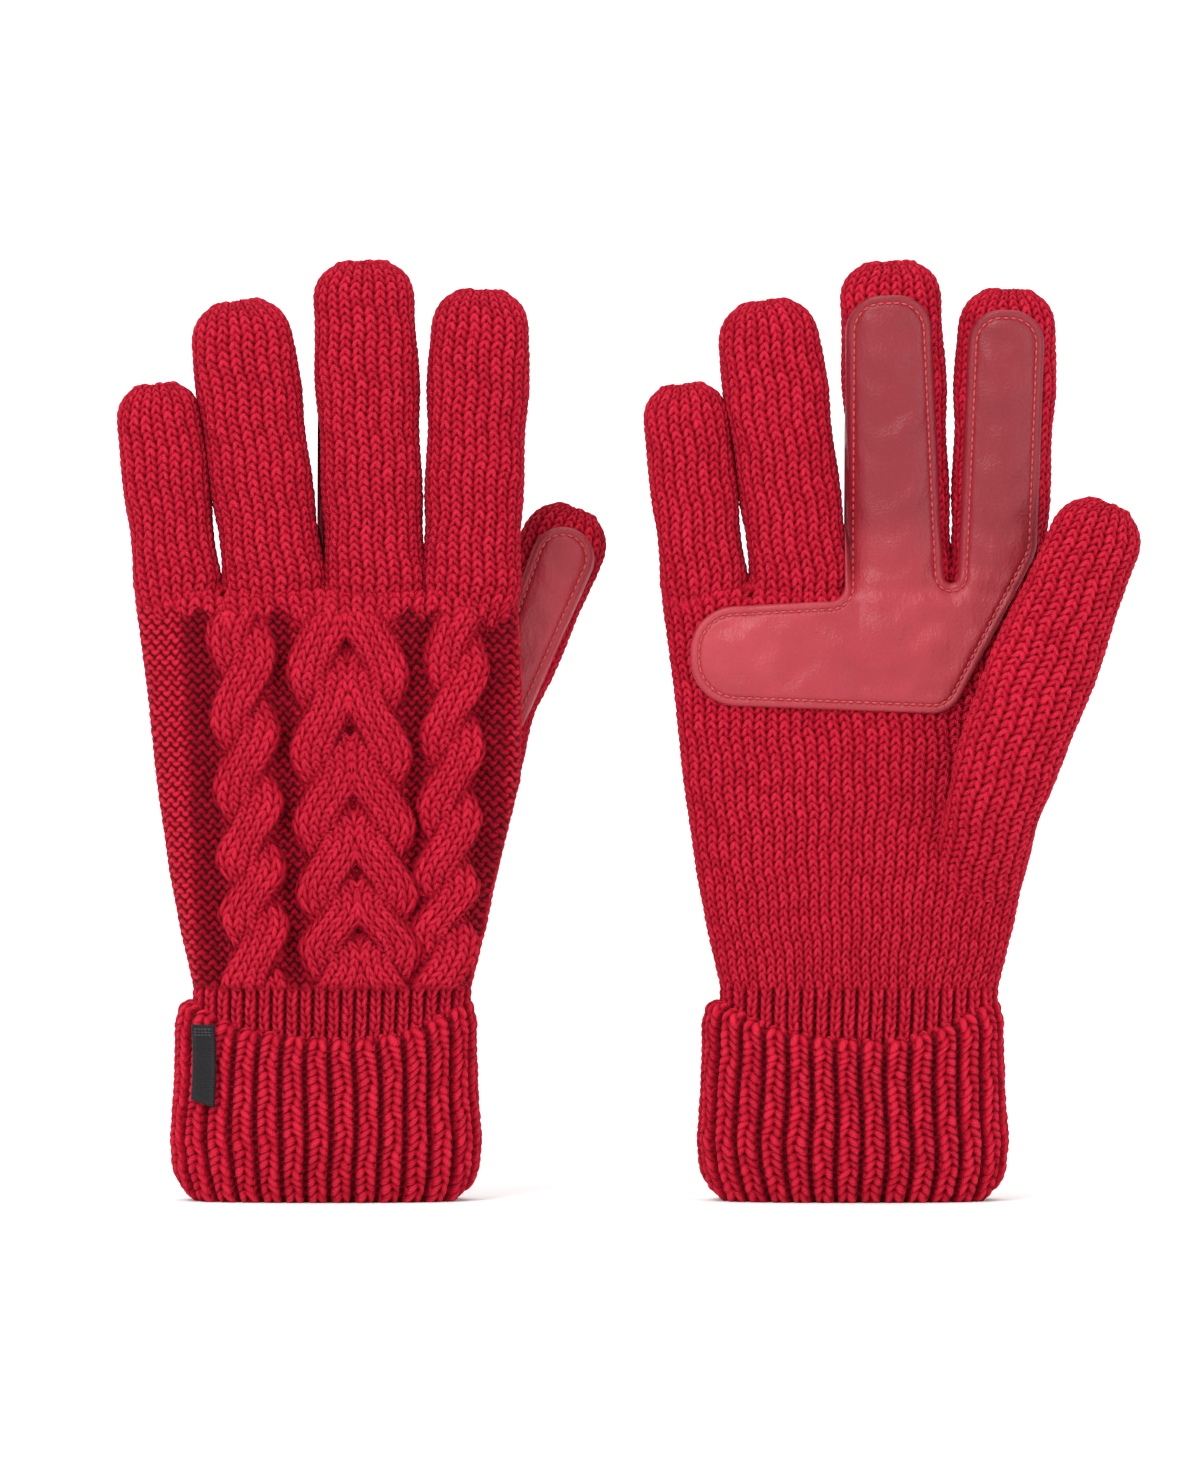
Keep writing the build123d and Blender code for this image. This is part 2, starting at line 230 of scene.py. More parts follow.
def rope(x, z, half, turn, pitch):
    """A two-strand cable, seen across x from its middle and up z, of half width half.

    turn is the strands' angle at each height and pitch the height of half a turn. The strand
    that travels towards +x passes in front. Returns its relief in millimetres, the stitch
    coordinates that follow the nearer strand, and how far up that strand's side each point is.
    """
    best = (np.full_like(x, NOWHERE), *(np.zeros_like(x),) * 3)
    swing = STRAND_SWING * half
    for number, sign in ((0.0, 1.0), (40.5, -1.0)):
        centre = sign * swing * np.cos(turn)
        slope = -sign * swing * np.sin(turn) * pi / pitch
        forward = np.sign(slope) * np.abs(np.sin(turn)) ** 0.8
        offset = x - centre
        breadth = half * (STRAND_BREADTH + 0.08 * forward)
        dome = np.sqrt(np.clip(1 - (offset / breadth) ** 2, 0, None))
        shape = STRAND_DOME * dome ** 0.85 + CROSSING_RISE * forward + NOWHERE * (dome <= 0)
        u = number + offset / CABLE_WALE
        v = (z + 0.85 * slope * offset) / CABLE_COURSE
        best = take_higher(best, (shape, u, v, dome))
    return best


# ---- Meshes ---------------------------------------------------------------------------------
def superellipse(power, aspect, spacings):
    """Points round a unit superellipse of half depth aspect, spaced in proportion to spacings.

    It starts at the thumb's side and passes the palm first. Returns x and y, each from -1 to 1,
    and the share of the way round.
    """
    angle = np.linspace(0, 2 * pi, 6001)
    c, s = np.cos(angle), np.sin(angle)
    x = np.sign(c) * np.abs(c) ** (2 / power)
    y = np.sign(s) * np.abs(s) ** (2 / power)
    way = np.concatenate([[0], np.cumsum(np.hypot(np.diff(x), np.diff(y) * aspect))])
    way /= way[-1]
    steps = np.concatenate([[0], np.cumsum(spacings)])
    share = steps[:-1] / steps[-1]
    angles = np.interp(share, way, angle)
    c, s = np.cos(angles), np.sin(angles)
    return np.sign(c) * np.abs(c) ** (2 / power), np.sign(s) * np.abs(s) ** (2 / power), share


def sweep(centres, across, front, widths, depths, x, y):
    """Rings of points: one row for each centre, one column for each point of the section."""
    return (
        centres[:, None, :]
        + (widths[:, None] * x)[:, :, None] * across[:, None, :]
        + (depths[:, None] * y)[:, :, None] * front[:, None, :]
    )


def outward(points):
    """Unit normals of a swept grid whose columns close on themselves."""
    along = np.gradient(points, axis=0)
    around = np.roll(points, -1, axis=1) - np.roll(points, 1, axis=1)
    normal = np.cross(around, along)
    length = np.linalg.norm(normal, axis=2, keepdims=True)
    return normal / np.maximum(length, 1e-9)


def new_object(name, glove, points, faces, material, fields=None, uv=None):
    """A mesh object from local points and faces, all of one size, with its shading attributes."""
    faces = np.asarray(faces, np.int32)
    if glove.palm < 0:
        faces = faces[:, ::-1]
        uv = None if uv is None else uv[:, ::-1]
    mesh = bpy.data.meshes.new(name)
    mesh.vertices.add(len(points))
    mesh.vertices.foreach_set("co", glove.world(points).astype(np.float32).ravel())
    sides = faces.shape[1]
    mesh.loops.add(faces.size)
    mesh.loops.foreach_set("vertex_index", faces.ravel())
    mesh.polygons.add(len(faces))
    mesh.polygons.foreach_set("loop_start", np.arange(0, faces.size, sides, dtype=np.int32))
    mesh.update(calc_edges=True)
    mesh.polygons.foreach_set("use_smooth", np.ones(len(faces), bool))
    for key, values in (fields or {}).items():
        attribute = mesh.attributes.new(key, "FLOAT", "POINT")
        attribute.data.foreach_set("value", np.asarray(values, np.float32).ravel())
    if uv is not None:
        layer = mesh.uv_layers.new(name="OFBake")
        layer.data.foreach_set("uv", np.asarray(uv, np.float32).ravel())
    mesh.materials.append(material)
    piece = bpy.data.objects.new(name, mesh)
    bpy.context.scene.collection.objects.link(piece)
    return piece


def grid_object(name, glove, points, fields, material, rows, columns, wrap):
    """A piece of a swept grid: the given range of rows and of columns."""
    total = points.shape[1]
    first, last = rows
    left, right = columns
    width = right - left + (0 if wrap else 1)
    picked = [(left + k) % total for k in range(width)]
    part = points[first:last + 1][:, picked]
    count = last - first + 1
    keep = {key: value[first:last + 1][:, picked] for key, value in fields.items()}
    i, j = np.meshgrid(np.arange(count - 1), np.arange(width if wrap else width - 1), indexing="ij")
    i, j = i.ravel(), j.ravel()
    k = (j + 1) % width
    faces = np.stack([i * width + j, i * width + k, (i + 1) * width + k, (i + 1) * width + j], 1)
    u0, u1 = j / width, (j + 1) / width
    v0, v1 = i / count, (i + 1) / count
    uv = np.stack([u0, v0, u1, v0, u1, v1, u0, v1], 1).reshape(-1, 4, 2)
    return new_object(name, glove, part.reshape(-1, 3), faces, material, keep, uv)


def knit_fields(stitches, shade):
    _, across, along, number = stitches
    return {"across": across, "along": along, "luck": number, "shade": shade}


# ---- Fingers and thumbs ---------------------------------------------------------------------
SECTION_POWER = 2.4     # roundness of a digit's section
DOME_POWER = 2.5        # roundness of its closed end
DOME_HEIGHT = 11.5
TUCK = 21.0             # a finger starts this far below its knuckle, inside the hand


def rows_of(length, radius, step):
    """Rows up a tube and over its dome: distance up the axis, share of the radius, arc length."""
    angle = np.linspace(0, pi / 2, 500)
    height = DOME_HEIGHT * np.sin(angle) ** (2 / DOME_POWER)
    share = np.cos(angle) ** (2 / DOME_POWER)
    arc = np.concatenate([[0], np.cumsum(np.hypot(np.diff(height), np.diff(share) * radius))])
    side = length - DOME_HEIGHT
    total = side + arc[-1]
    arcs = np.linspace(0, total - 0.2, int(total / step))
    distance = np.where(arcs < side, arcs, side + np.interp(arcs - side, arc, height))
    return distance, np.where(arcs < side, 1.0, np.interp(arcs - side, arc, share)), arcs


def digit_grid(digit, route, stretch_at):
    """The knitted surface of a digit round a route of points that ends at its tip.

    stretch_at gives the share of its full width at each distance from its root hinge.
    """
    route = np.asarray(route, float)
    steps = np.linalg.norm(np.diff(route, axis=0), axis=1)
    marks = np.concatenate([[0], np.cumsum(steps)])
    distance, share, arcs = rows_of(marks[-1], digit.half_width, DETAIL)
    centres = np.stack([np.interp(distance, marks, route[:, k]) for k in range(3)], 1)
    slopes = np.gradient(route, marks, axis=0)
    along = np.stack([np.interp(distance, marks, slopes[:, k]) for k in range(3)], 1)
    along /= np.linalg.norm(along, axis=1, keepdims=True)
    front = np.array([0.0, 1.0, 0.0]) - along * along[:, 1:2]
    front /= np.linalg.norm(front, axis=1, keepdims=True)
    across = np.cross(front, along)

    stretch = stretch_at(distance - (marks[-1] - digit.reach))
    skin = 1 - STITCH_RELIEF / digit.half_width
    perimeter = 2 * pi * np.sqrt((digit.half_width ** 2 + digit.half_depth ** 2) / 2)
    count = int(perimeter / DETAIL)
    aspect = digit.half_depth / digit.half_width
    x, y, way = superellipse(SECTION_POWER, aspect, np.ones(count))
    size = stretch * share * skin
    base = sweep(centres, across, front, size * digit.half_width, size * digit.half_depth, x, y)
    wobble = 0.28 * np.sin(arcs[:, None] * 0.21 + 2.2 * np.sin(way * 2 * pi)) * share[:, None]
    normal = outward(base)
    pole = smooth(0.25, 0.05, share)[:, None, None]
    normal = normal * (1 - pole) + along[:, None, :] * pole

    wales = 2 * round(perimeter / WALE / 2)
    v = np.repeat(arcs[:, None] / COURSE, count, axis=1)
    u = np.repeat(way[None, :] * wales, len(arcs), axis=0)
    closing = smooth(0.62, 0.50, share)[:, None]
    stitches = mix(stocking(u, v), stocking(u / 2, v), closing)
    breadth = np.clip(share * (1 + closing[:, 0]), 0.25, 1)[:, None]
    gather = np.exp(-(share / 0.22) ** 2)[:, None]
    fold = 0.28 * np.cos(way * 2 * pi * 5)[None, :]
    fold = fold * np.exp(-((share - 0.28) / 0.16) ** 2)[:, None]
    lift = stitches[0] * STITCH_RELIEF * breadth + wobble - 1.0 * gather + fold
    points = base + normal * lift[:, :, None]
    # Painted shade: darker in the stitches' valleys and darker still in the gathered dip at the tip.
    return points, knit_fields(stitches, stitches[0] * (1 - 0.5 * gather)), distance


def make_digit(glove, digit, material):
    """A digit in two pieces, cut halfway between its root hinge and its middle joint."""
    side = glove.side
    if digit.name == "thumb":
        points, fields, distance = digit_grid(digit, thumb_route(digit), thumb_stretch(side))
    else:
        route = [digit.at(d) for d in np.linspace(-TUCK, digit.reach, 12)]
        points, fields, distance = digit_grid(digit, route, digit.stretch)
    hinge_at = distance[-1] - digit.reach
    reach = min(12.0, 0.48 * digit.span)
    middle = int(np.searchsorted(distance, hinge_at + digit.span / 2))
    total = points.shape[1]
    hand, base, tip = f"{side}_hand", f"{side}_{digit.name}_base", f"{side}_{digit.name}_tip"
    lower = grid_object(
        f"{side}_{digit.name}_lower_knit", glove, points, fields, material,
        (0, middle), (0, total), True,
    )
    upper = grid_object(
        f"{side}_{digit.name}_upper_knit", glove, points, fields, material,
        (middle, len(points) - 1), (0, total), True,
    )
    join(glove, lower, digit, hand, base, 0.0, reach)
    join(glove, upper, digit, base, tip, digit.span, reach)
    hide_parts(base)
    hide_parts(tip)


def join(glove, piece, digit, first, second, distance, reach):
    """Bake a piece's transform into its mesh; the points either side of one of a digit's hinges, at
    distance from its root hinge, are worked out but not used.
    """
    start, end = (glove.world(digit.at(distance + d)) for d in (-reach, reach))
    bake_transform(piece)


THUMB_START = np.array([33.0, 3.0, 86.0])   # where the thumb leaves the palm's knitting
# Width at its root, halfway and near its end, as shares of the thumb's full width
THUMB_ROOT = {"left": (0.82, 0.92, 0.93), "right": (1.2, 1.1, 0.98)}


def thumb_route(digit):
    """Out of the palm in a curve, then straight along the thumb."""
    bend = digit.at(-26.0)
    curve = [
        (1 - t) ** 2 * THUMB_START + 2 * t * (1 - t) * bend + t * t * digit.at(0.0)
        for t in np.linspace(0, 1, 16)
    ]
    straight = [digit.at(d) for d in np.linspace(0, digit.reach, 12)[1:]]
    return np.array(curve + straight)


def thumb_stretch(side):
    """The thumb's width by distance from its root; the left one is drawn flatter to the hand."""
    root, middle, end = THUMB_ROOT[side]
    return lambda distance: np.interp(
        distance, (-60, -30, 0, 25, 40, 60), (0.95, 1.05, root, middle, end, end)
    )


# ---- The hand -------------------------------------------------------------------------------
HAND_POWER = 2.6
# Height, left edge, right edge and half depth over the ground stitches
HAND_OUTLINE = (
    (3.0, -34.4, 34.4, 13.0),
    (56.0, -34.4, 37.8, 13.0),
    (72.0, -38.2, 41.9, 12.8),
    (87.0, -41.0, 45.0, 12.5),
    (111.0, -44.5, 51.0, 11.9),
    (135.0, -47.0, 51.6, 11.2),
    (159.0, -50.2, 50.4, 10.6),
    (166.0, -50.4, 50.4, 10.4),
)
HAND_START = 3.6
HAND_ROW = 0.34             # spacing of the mesh's rows up the hand
HAND_SPLIT = 92.0           # the hand's mesh is cut here, so that its pieces stay small
HAND_MEAN_WIDTH = 47.0      # half width for which points are spaced round the hand
PALM_GIRTH, BACK_GIRTH = 118.0, 112.0
HAND_GIRTH, WRIST_GIRTH = 220, 190      # the lengths that whole stitches and ribs divide
SIDE_SETTLE = 0.6 / 50      # the ground narrows by this share to make room for stitches
HAND_CLOSING = 157.0        # the hand rounds over between the fingers from here
HAND_TOP = 166.0
RIB_TOP = 56.5              # ribs below, plain knitting or cables above
HAND_RIB_PITCH = 4.4
CABLES_TOP = 156.0
CABLE_FALL = 58.0
# Heights at which a strand of the middle cable reaches its middle
PEAKS = (46.0, 65.5, 80.0, 97.8, 116.6, 137.5, 160.0, 181.0)
# Middle at the top and at the bottom, half width, mirrored, and shift of its crossings
ROPES = (
    (-22.4, -17.6, 9.3, 1, -9.0),
    (-1.3, 3.1, 9.7, 1, 0.0),
    (11.9, 16.3, 9.7, -1, 0.0),
    (35.2, 30.3, 8.6, 1, -5.0),
)
LADDER_DEPTH = 1.5


def edge(z, column):
    return np.interp(z, [row[0] for row in HAND_OUTLINE], [row[column] for row in HAND_OUTLINE])


def bulge(t, power):
    """Height of a unit superellipse above its middle line."""
    return np.clip(1 - np.abs(t) ** power, 0, None) ** (1 / power)


def finger_face(digits, x, z):
    """How far the fingers' fronts stand from the middle plane, at x and z."""
    face = np.zeros(np.broadcast(x, z).shape)
    for digit in digits:
        place, distance = digit.place(x, z)
        stretch = np.maximum(digit.stretch(distance), 0.97)
        across = bulge(place / (digit.half_width * stretch), SECTION_POWER)
        face = np.maximum(face, stretch * digit.half_depth * across)
    return face


def hand_rounding(z):
    """The hand's depth near its top, as a share of its full depth: a quarter circle."""
    rise = np.clip((z - HAND_CLOSING) / (HAND_TOP - HAND_CLOSING), 0, 1)
    return np.sqrt(np.clip(1 - rise ** 2, 0, 1))


def hand_face(digits, x, z):
    """How far the hand's front stands from the middle plane, at x and z."""
    left, right, depth = edge(z, 1), edge(z, 2), edge(z, 3)
    place = (x - (left + right) / 2) / ((right - left) / 2)
    slab = depth * bulge(place, HAND_POWER)
    share = 0.9 * smooth(148, 163, z)
    face = slab * (1 - share) + np.minimum(slab, finger_face(digits, x, z)) * share
    return face * hand_rounding(z)


def back_knit(x, z):
    """Cables on a ground of reverse stocking stitch: relief, stitch field and shade."""
    slide = np.clip((CABLES_TOP - z) / (CABLES_TOP - CABLE_FALL), 0, 1)
    stitches = purl(x / 2.7, z / 2.7)
    nearest = np.full_like(x, 99.0)
    relief = np.full_like(x, NOWHERE)
    side = np.zeros_like(x)
    for top, bottom, half, lean, shift in ROPES:
        middle = top + (bottom - top) * slide
        offset = (x - middle) * lean
        nearest = np.minimum(nearest, np.abs(offset) - half)
        heights = np.interp(z + shift, PEAKS, np.arange(len(PEAKS)) * pi)
        pitch = np.interp(z + shift, PEAKS[1:], np.diff(PEAKS))
        rise, u, v, body = rope(offset, z, half, heights, pitch)
        strand = stocking(u, v)
        take = rise > relief
        relief = np.where(take, rise, relief)
        side = np.where(take, body, side)
        stitches = tuple(np.where(take & (rise > COVERED), a, b) for a, b in zip(strand, stitches))
    covered = relief > COVERED
    outer = smooth(4.5, 8.0, nearest)
    ladder = -LADDER_DEPTH * (1 - smooth(1.0, 6.5, nearest)) * smooth(-3.5, -0.5, nearest)
    ground = ladder + (0.85 - 0.15 * outer) * stitches[0]
    cable = np.maximum(relief, -1.2) + 0.85 * stitches[0]
    total = np.where(covered, np.maximum(cable, ground), ground)
    within = 1 - smooth(-3.5, -0.5, nearest)
    ground_shade = stitches[0] * (0.55 + 0.33 * outer) + 0.16 * outer + 0.3 * within
    cable_shade = (0.2 + 0.8 * stitches[0]) * (0.5 + 0.5 * smooth(0.15, 0.8, side))
    cable_shade = cable_shade * (0.8 + 0.2 * smooth(-0.6, 2.0, relief))
    return total, stitches, np.where(covered, cable_shade, ground_shade)


def make_hand(glove, digits, material):
    heights = np.concatenate([
        np.arange(HAND_START, HAND_CLOSING, HAND_ROW),
        HAND_CLOSING + (HAND_TOP - HAND_CLOSING) * np.sin(np.linspace(0, pi / 2, 36)),
    ])
    left, right, depth = (edge(heights, column) for column in (1, 2, 3))
    palm_count = int(PALM_GIRTH / DETAIL)
    back_count = int(BACK_GIRTH / FINE_DETAIL)
    spacing = np.concatenate([
        np.full(palm_count, 0.5 / palm_count), np.full(back_count, 0.5 / back_count),
    ])
    x, y, way = superellipse(HAND_POWER, depth.mean() / HAND_MEAN_WIDTH, spacing)
    z = np.repeat(heights[:, None], len(x), axis=1)
    across = (left + right)[:, None] / 2 + (right - left)[:, None] / 2 * x * (1 - SIDE_SETTLE)
    face = hand_face(digits, across, z)
    slab = depth[:, None] * np.abs(y)
    closing = smooth(148, 163, z)
    thick = np.minimum(face, slab) * closing + slab * (1 - closing)
    rounding = hand_rounding(z)
    base = np.stack([across, np.sign(y) * thick * rounding, z], 2)

    is_back = y[None, :] < 0
    wales = 2 * round(HAND_GIRTH / WALE / 2)
    plain = stocking(way[None, :] * wales + 0 * z, z / COURSE)
    total, cabled, shade = back_knit(across, z)
    low = 1 - smooth(RIB_TOP - 1.5, RIB_TOP + 1.5, z)
    ribs, raised = rib(way[None, :] * round(WRIST_GIRTH / HAND_RIB_PITCH) + 0 * z, z / COURSE)
    top = smooth(CABLES_TOP - 4, CABLES_TOP + 3, z - 1.5 * np.sin(across * 0.9))
    rim = smooth(0.0, 0.22, np.abs(y))[None, :] + 0 * z
    plain_relief = STITCH_RELIEF * plain[0]
    back_share = is_back * (1 - top) * rim
    lift = plain_relief * (1 - back_share) + total * back_share
    lift = lift * (1 - low) + (1.0 * raised - 0.4 + 0.9 * ribs[0]) * low
    fields = mix(plain, cabled, (back_share > 0.5).astype(float))
    fields = mix(fields, ribs, (low > 0.5).astype(float))
    # Painted shade: the stitches' valleys and the sunken ribs are darker than their peaks.
    painted_shade = np.where(back_share > 0.5, shade, plain[0])
    painted_shade = painted_shade * (1 - low) + (0.3 * raised + 0.7 * ribs[0] * (0.4 + 0.6 * raised)) * low
    lift = lift * (0.15 + 0.85 * rounding)
    points = base + outward(base) * lift[:, :, None]
    fields = knit_fields(fields, painted_shade)

    rows = [0, int(np.searchsorted(heights, HAND_SPLIT)), len(heights) - 1]
    columns = {"palm": (0, palm_count), "back": (palm_count, palm_count + back_count)}
    for face_name, (first, last) in columns.items():
        for level, low_row, high_row in (("low", rows[0], rows[1]), ("high", rows[1], rows[2])):
            piece = grid_object(
                f"{glove.side}_{face_name}_{level}_knit", glove, points, fields, material,
                (low_row, high_row), (first, last), False,
            )
            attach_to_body(piece, f"{glove.side}_hand")
            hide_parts(f"{glove.side}_hand")


# ---- The turned cuff ------------------------------------------------------------------------
CUFF_POWER = 2.5
CUFF_FOLD = 3.4             # radius of the fold that the cuff stands on
CUFF_WALL = 3.6
CUFF_EDGE_SIDE = 52.0
CUFF_EDGE_MIDDLE = 42.0
CUFF_COURSE = 2.25
CUFF_INNER, CUFF_INNER_RUN = 40.0, 34.0     # its inner wall: where it starts, and its length
CUFF_TUCK = 12.0            # how far down the turned edge is drawn behind the outer wall
CUFF_CORNER = 7.0           # rounding of its two lower corners, seen from the front
RIB_RELIEF = 1.4
# Height, and how far the outside of the cuff stands in from its widest
CUFF_LEAN = (
    (0.0, 3.0), (4.0, 1.7), (9.0, 0.3), (16.0, -0.4), (26.0, 0.4), (40.0, 1.0), (54.0, 0.8),
)


def make_cuff(glove, material):
    low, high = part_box(f"{glove.side}_cuff")
    half_width = (high.x - low.x) / 2 / MM
    half_depth = (high.y - low.y) / 2 / MM
    perimeter = 2 * (half_width + half_depth) * 1.66
    count = int(perimeter / DETAIL)
    x, y, way = superellipse(CUFF_POWER, half_depth / half_width, np.ones(count))
    edge_height = CUFF_EDGE_MIDDLE + (CUFF_EDGE_SIDE - CUFF_EDGE_MIDDLE) * np.abs(x) ** 2.4
    edge_height += 0.5 * np.sin(way * 2 * pi * 3 + 1)

    def leg(length):
        return np.linspace(0, 1, max(2, int(length / DETAIL)))[:-1]

    edge_radius = CUFF_WALL / 2
    path = [
        (2 * CUFF_FOLD + 0.5, CUFF_INNER - (CUFF_INNER - CUFF_FOLD) * t, 0)
        for t in leg(CUFF_INNER_RUN)
    ]
    path += [
        (CUFF_FOLD * (1 + cos(pi * t)), CUFF_FOLD * (1 - np.sin(pi * t)), 0)
        for t in leg(pi * CUFF_FOLD)
    ]
    path += [(0, CUFF_FOLD, t) for t in leg(CUFF_EDGE_SIDE - CUFF_FOLD)]
    path += [
        (edge_radius * (1 - cos(pi * t)), CUFF_FOLD + edge_radius * np.sin(pi * t), 1)
        for t in leg(pi * edge_radius * 1.2)
    ]
    path += [(CUFF_WALL, CUFF_FOLD - CUFF_TUCK * t, 1) for t in leg(CUFF_TUCK)]
    inset, height, share = (column[:, None] for column in np.array(path, float).T)

    z = height + share * (edge_height - CUFF_FOLD - edge_radius)
    corner = np.clip((np.abs(x) - 1 + CUFF_CORNER / half_width) * half_width / CUFF_CORNER, 0, 1)
    raise_corner = 0.8 * CUFF_CORNER * (1 - np.sqrt(1 - np.minimum(corner, 0.99) ** 2))
    z = z + raise_corner * np.clip(1 - z / CUFF_EDGE_MIDDLE, 0, 1)
    lean = np.interp(z, [row[0] for row in CUFF_LEAN], [row[1] for row in CUFF_LEAN])
    settle = RIB_RELIEF + 0.9
    stand = inset + lean + settle
    base = np.stack([(half_width - stand) * x, (half_depth - stand) * y, z], 2)
    step = np.linalg.norm(np.diff(base, axis=0), axis=2)
    arcs = np.concatenate([np.zeros((1, count)), np.cumsum(step, axis=0)])
    v = -np.repeat(arcs[:, :1], count, axis=1) / CUFF_COURSE
    ribs = round(perimeter / RIB_PITCH)
    u = way[None, :] * ribs + 0.05 * np.sin(v * 0.35 + way[None, :] * 19)
    stitches, raised = rib(u, v)
    rim = 1 - 0.6 * smooth(0.93, 1.0, share) * (height > CUFF_FOLD - 1)
    lift = RIB_RELIEF * raised * rim + 1.15 * stitches[0] * (0.45 + 0.55 * raised)
    points = base + outward(base) * lift[:, :, None]
    points[:, :, 2] = np.maximum(points[:, :, 2], 0.05)
    # Painted shade: darker in the sunken ribs and between the stitches.
    painted_shade = (0.25 + 0.75 * raised) * (0.12 + 0.88 * stitches[0])
    name = f"{glove.side}_cuff_knit"
    piece = grid_object(
        name, glove, points, knit_fields(stitches, painted_shade), material,
        (0, len(points) - 1), (0, count), True,
    )
    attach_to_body(piece, f"{glove.side}_cuff")
    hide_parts(f"{glove.side}_cuff")


# ---- Leather --------------------------------------------------------------------------------
LEATHER = 1.1               # how far the leather stands over the stitches
SEAM_INSET = 2.3
STITCH_SINK = 0.22          # how far a stitch sinks into the leather
STITCH_PITCH = 2.05
STITCH_LENGTH = 1.45
STITCH_RADIUS = 0.26
CREASE = 0.42               # depth of its soft folds
SOFTNESS = 1.3              # how closely the leather follows the valleys beneath it
BRIDGE_STEPS = (-4.5, -3.0, -1.5, 1.5, 3.0, 4.5)    # the taut leather spans valleys this wide
BRIDGE_END, BRIDGE_START = 168, 159                 # but not above the fingers' crotches
POINT_SPACING = 0.9
RING_INSETS = (0.14, 0.4, 0.8, 1.3, 1.8, 2.1, 2.35, 2.6, 3.0, 3.6)   # rows inside the edge
INNER_INSET = 4.1
ROLL_INSETS, ROLL_HEIGHTS = (0, 0.14, 0.4, 0.8, 1.4), (-1.0, 0.35, 0.78, 0.96, 1.0)
# Half width, shift across the digit, and the two ends' distances from its root hinge
STRIPS = {
    "middle": (11.2, -0.9, -19.0, 68.5),
    "index": (10.2, -0.4, -19.0, 64.5),
    "thumb": (8.8, 1.5, -9.0, 49.5),
}
LEATHER_SPLIT = 151.0       # the palm's leather below this height stays with the hand
# Corners of the palm's leather as (x, z, radius), from the one beside the middle finger round
# its lobe to the thumb's side
PALM_EDGE = (
    (-2.4, 158.8, 4.0),
    (-43.2, 156.6, 12.0),
    (-43.2, 131.2, 12.4),
    (25.7, 128.6, 8.0),
)
MIDDLE_ROUND, INDEX_ROUND, INDEX_ROOT_ROUND = 9.5, 9.0, 14.0    # radii of the strips' corners
CROTCH_LEVEL = -9           # the gap between the two strips is centred this far below the hinges
CROTCH_HALF, CROTCH_HEIGHT, CROTCH_ROUND = 1.7, 163.4, 1.6
THUMB_TAPER = 0.78          # the thumb's leather is narrower at its root
THUMB_ROOT_ROUND, THUMB_TIP_ROUND = 4, 8.5


def rounded(corners):
    """A closed outline of (x, z, radius) corners, each turned by an arc, with points every 0.7."""
    points = []
    count = len(corners)
    for k, (x, z, radius) in enumerate(corners):
        here = np.array([x, z])
        before = np.array(corners[k - 1][:2]) - here
        after = np.array(corners[(k + 1) % count][:2]) - here
        before /= np.linalg.norm(before)
        after /= np.linalg.norm(after)
        half = np.arccos(np.clip(before @ after, -1, 1)) / 2
        middle = (before + after) / np.linalg.norm(before + after)
        centre = here + middle * radius / np.sin(half)
        first = here + before * radius / np.tan(half)
        last = here + after * radius / np.tan(half)
        turn = pi - 2 * half
        a0 = np.arctan2(*(first - centre)[::-1])
        a1 = np.arctan2(*(last - centre)[::-1])
        sweep_angle = (a1 - a0 + pi) % (2 * pi) - pi
        for t in np.linspace(0, 1, max(3, int(radius * turn / 0.7))):
            angle = a0 + sweep_angle * t
            points.append(centre + radius * np.array([np.cos(angle), np.sin(angle)]))
    return even(np.array(points), 0.7)


def even(points, pitch):
    """A closed line's points again, at an even pitch."""
    loop = np.vstack([points, points[:1]])
    marks = np.concatenate([[0], np.cumsum(np.linalg.norm(np.diff(loop, axis=0), axis=1))])
    count = int(round(marks[-1] / pitch))
    at = np.arange(count) * marks[-1] / count
    return np.stack([np.interp(at, marks, loop[:, k]) for k in range(2)], 1)


def hand_outline(digits):
    """One piece of leather: the palm's lobe and the strips of the middle and index fingers."""
    middle, index = digits["middle"], digits["index"]

    def at(digit, distance, sign, radius):
        half, shift = STRIPS[digit.name][:2]
        point = digit.at(distance) + digit.across * (shift + sign * half)
        return point[0], point[2], radius

    left, right = (at(digit, CROTCH_LEVEL, sign, 0)[0] for digit, sign in ((middle, 1), (index, -1)))
    crotch = (left + right) / 2
    middle_end, index_end = STRIPS["middle"][3], STRIPS["index"][3]
    return (
        at(middle, middle_end, -1, MIDDLE_ROUND),
        *PALM_EDGE,
        at(index, 1, 1, INDEX_ROOT_ROUND),
        at(index, index_end, 1, INDEX_ROUND),
        at(index, index_end, -1, INDEX_ROUND),
        (crotch + CROTCH_HALF, CROTCH_HEIGHT, CROTCH_ROUND),
        (crotch - CROTCH_HALF, CROTCH_HEIGHT, CROTCH_ROUND),
        at(middle, middle_end, 1, MIDDLE_ROUND),
    )


def thumb_outline(digit):
    half, shift, low, high = STRIPS["thumb"]
    corners = []
    ends = ((low, THUMB_TAPER, THUMB_ROOT_ROUND, (-1, 1)), (high, 1.0, THUMB_TIP_ROUND, (1, -1)))
    for distance, taper, radius, signs in ends:
        for sign in signs:
            point = digit.at(distance) + digit.across * (shift + sign * half * taper)
            corners.append((point[0], point[2], radius))
    return tuple(corners)


def inwards(outline, amount):
    """The outline moved inwards, with the points that crowd a tight corner left out."""
    tangent = np.roll(outline, -1, axis=0) - np.roll(outline, 1, axis=0)
    tangent /= np.linalg.norm(tangent, axis=1, keepdims=True)
    area = 0.5 * np.sum(
        outline[:, 0] * np.roll(outline[:, 1], -1) - np.roll(outline[:, 0], -1) * outline[:, 1]
    )
    normal = np.stack([-tangent[:, 1], tangent[:, 0]], 1) * np.sign(area)
    moved = outline + normal * amount
    return moved[depth_inside(moved, outline) > amount * 0.93]


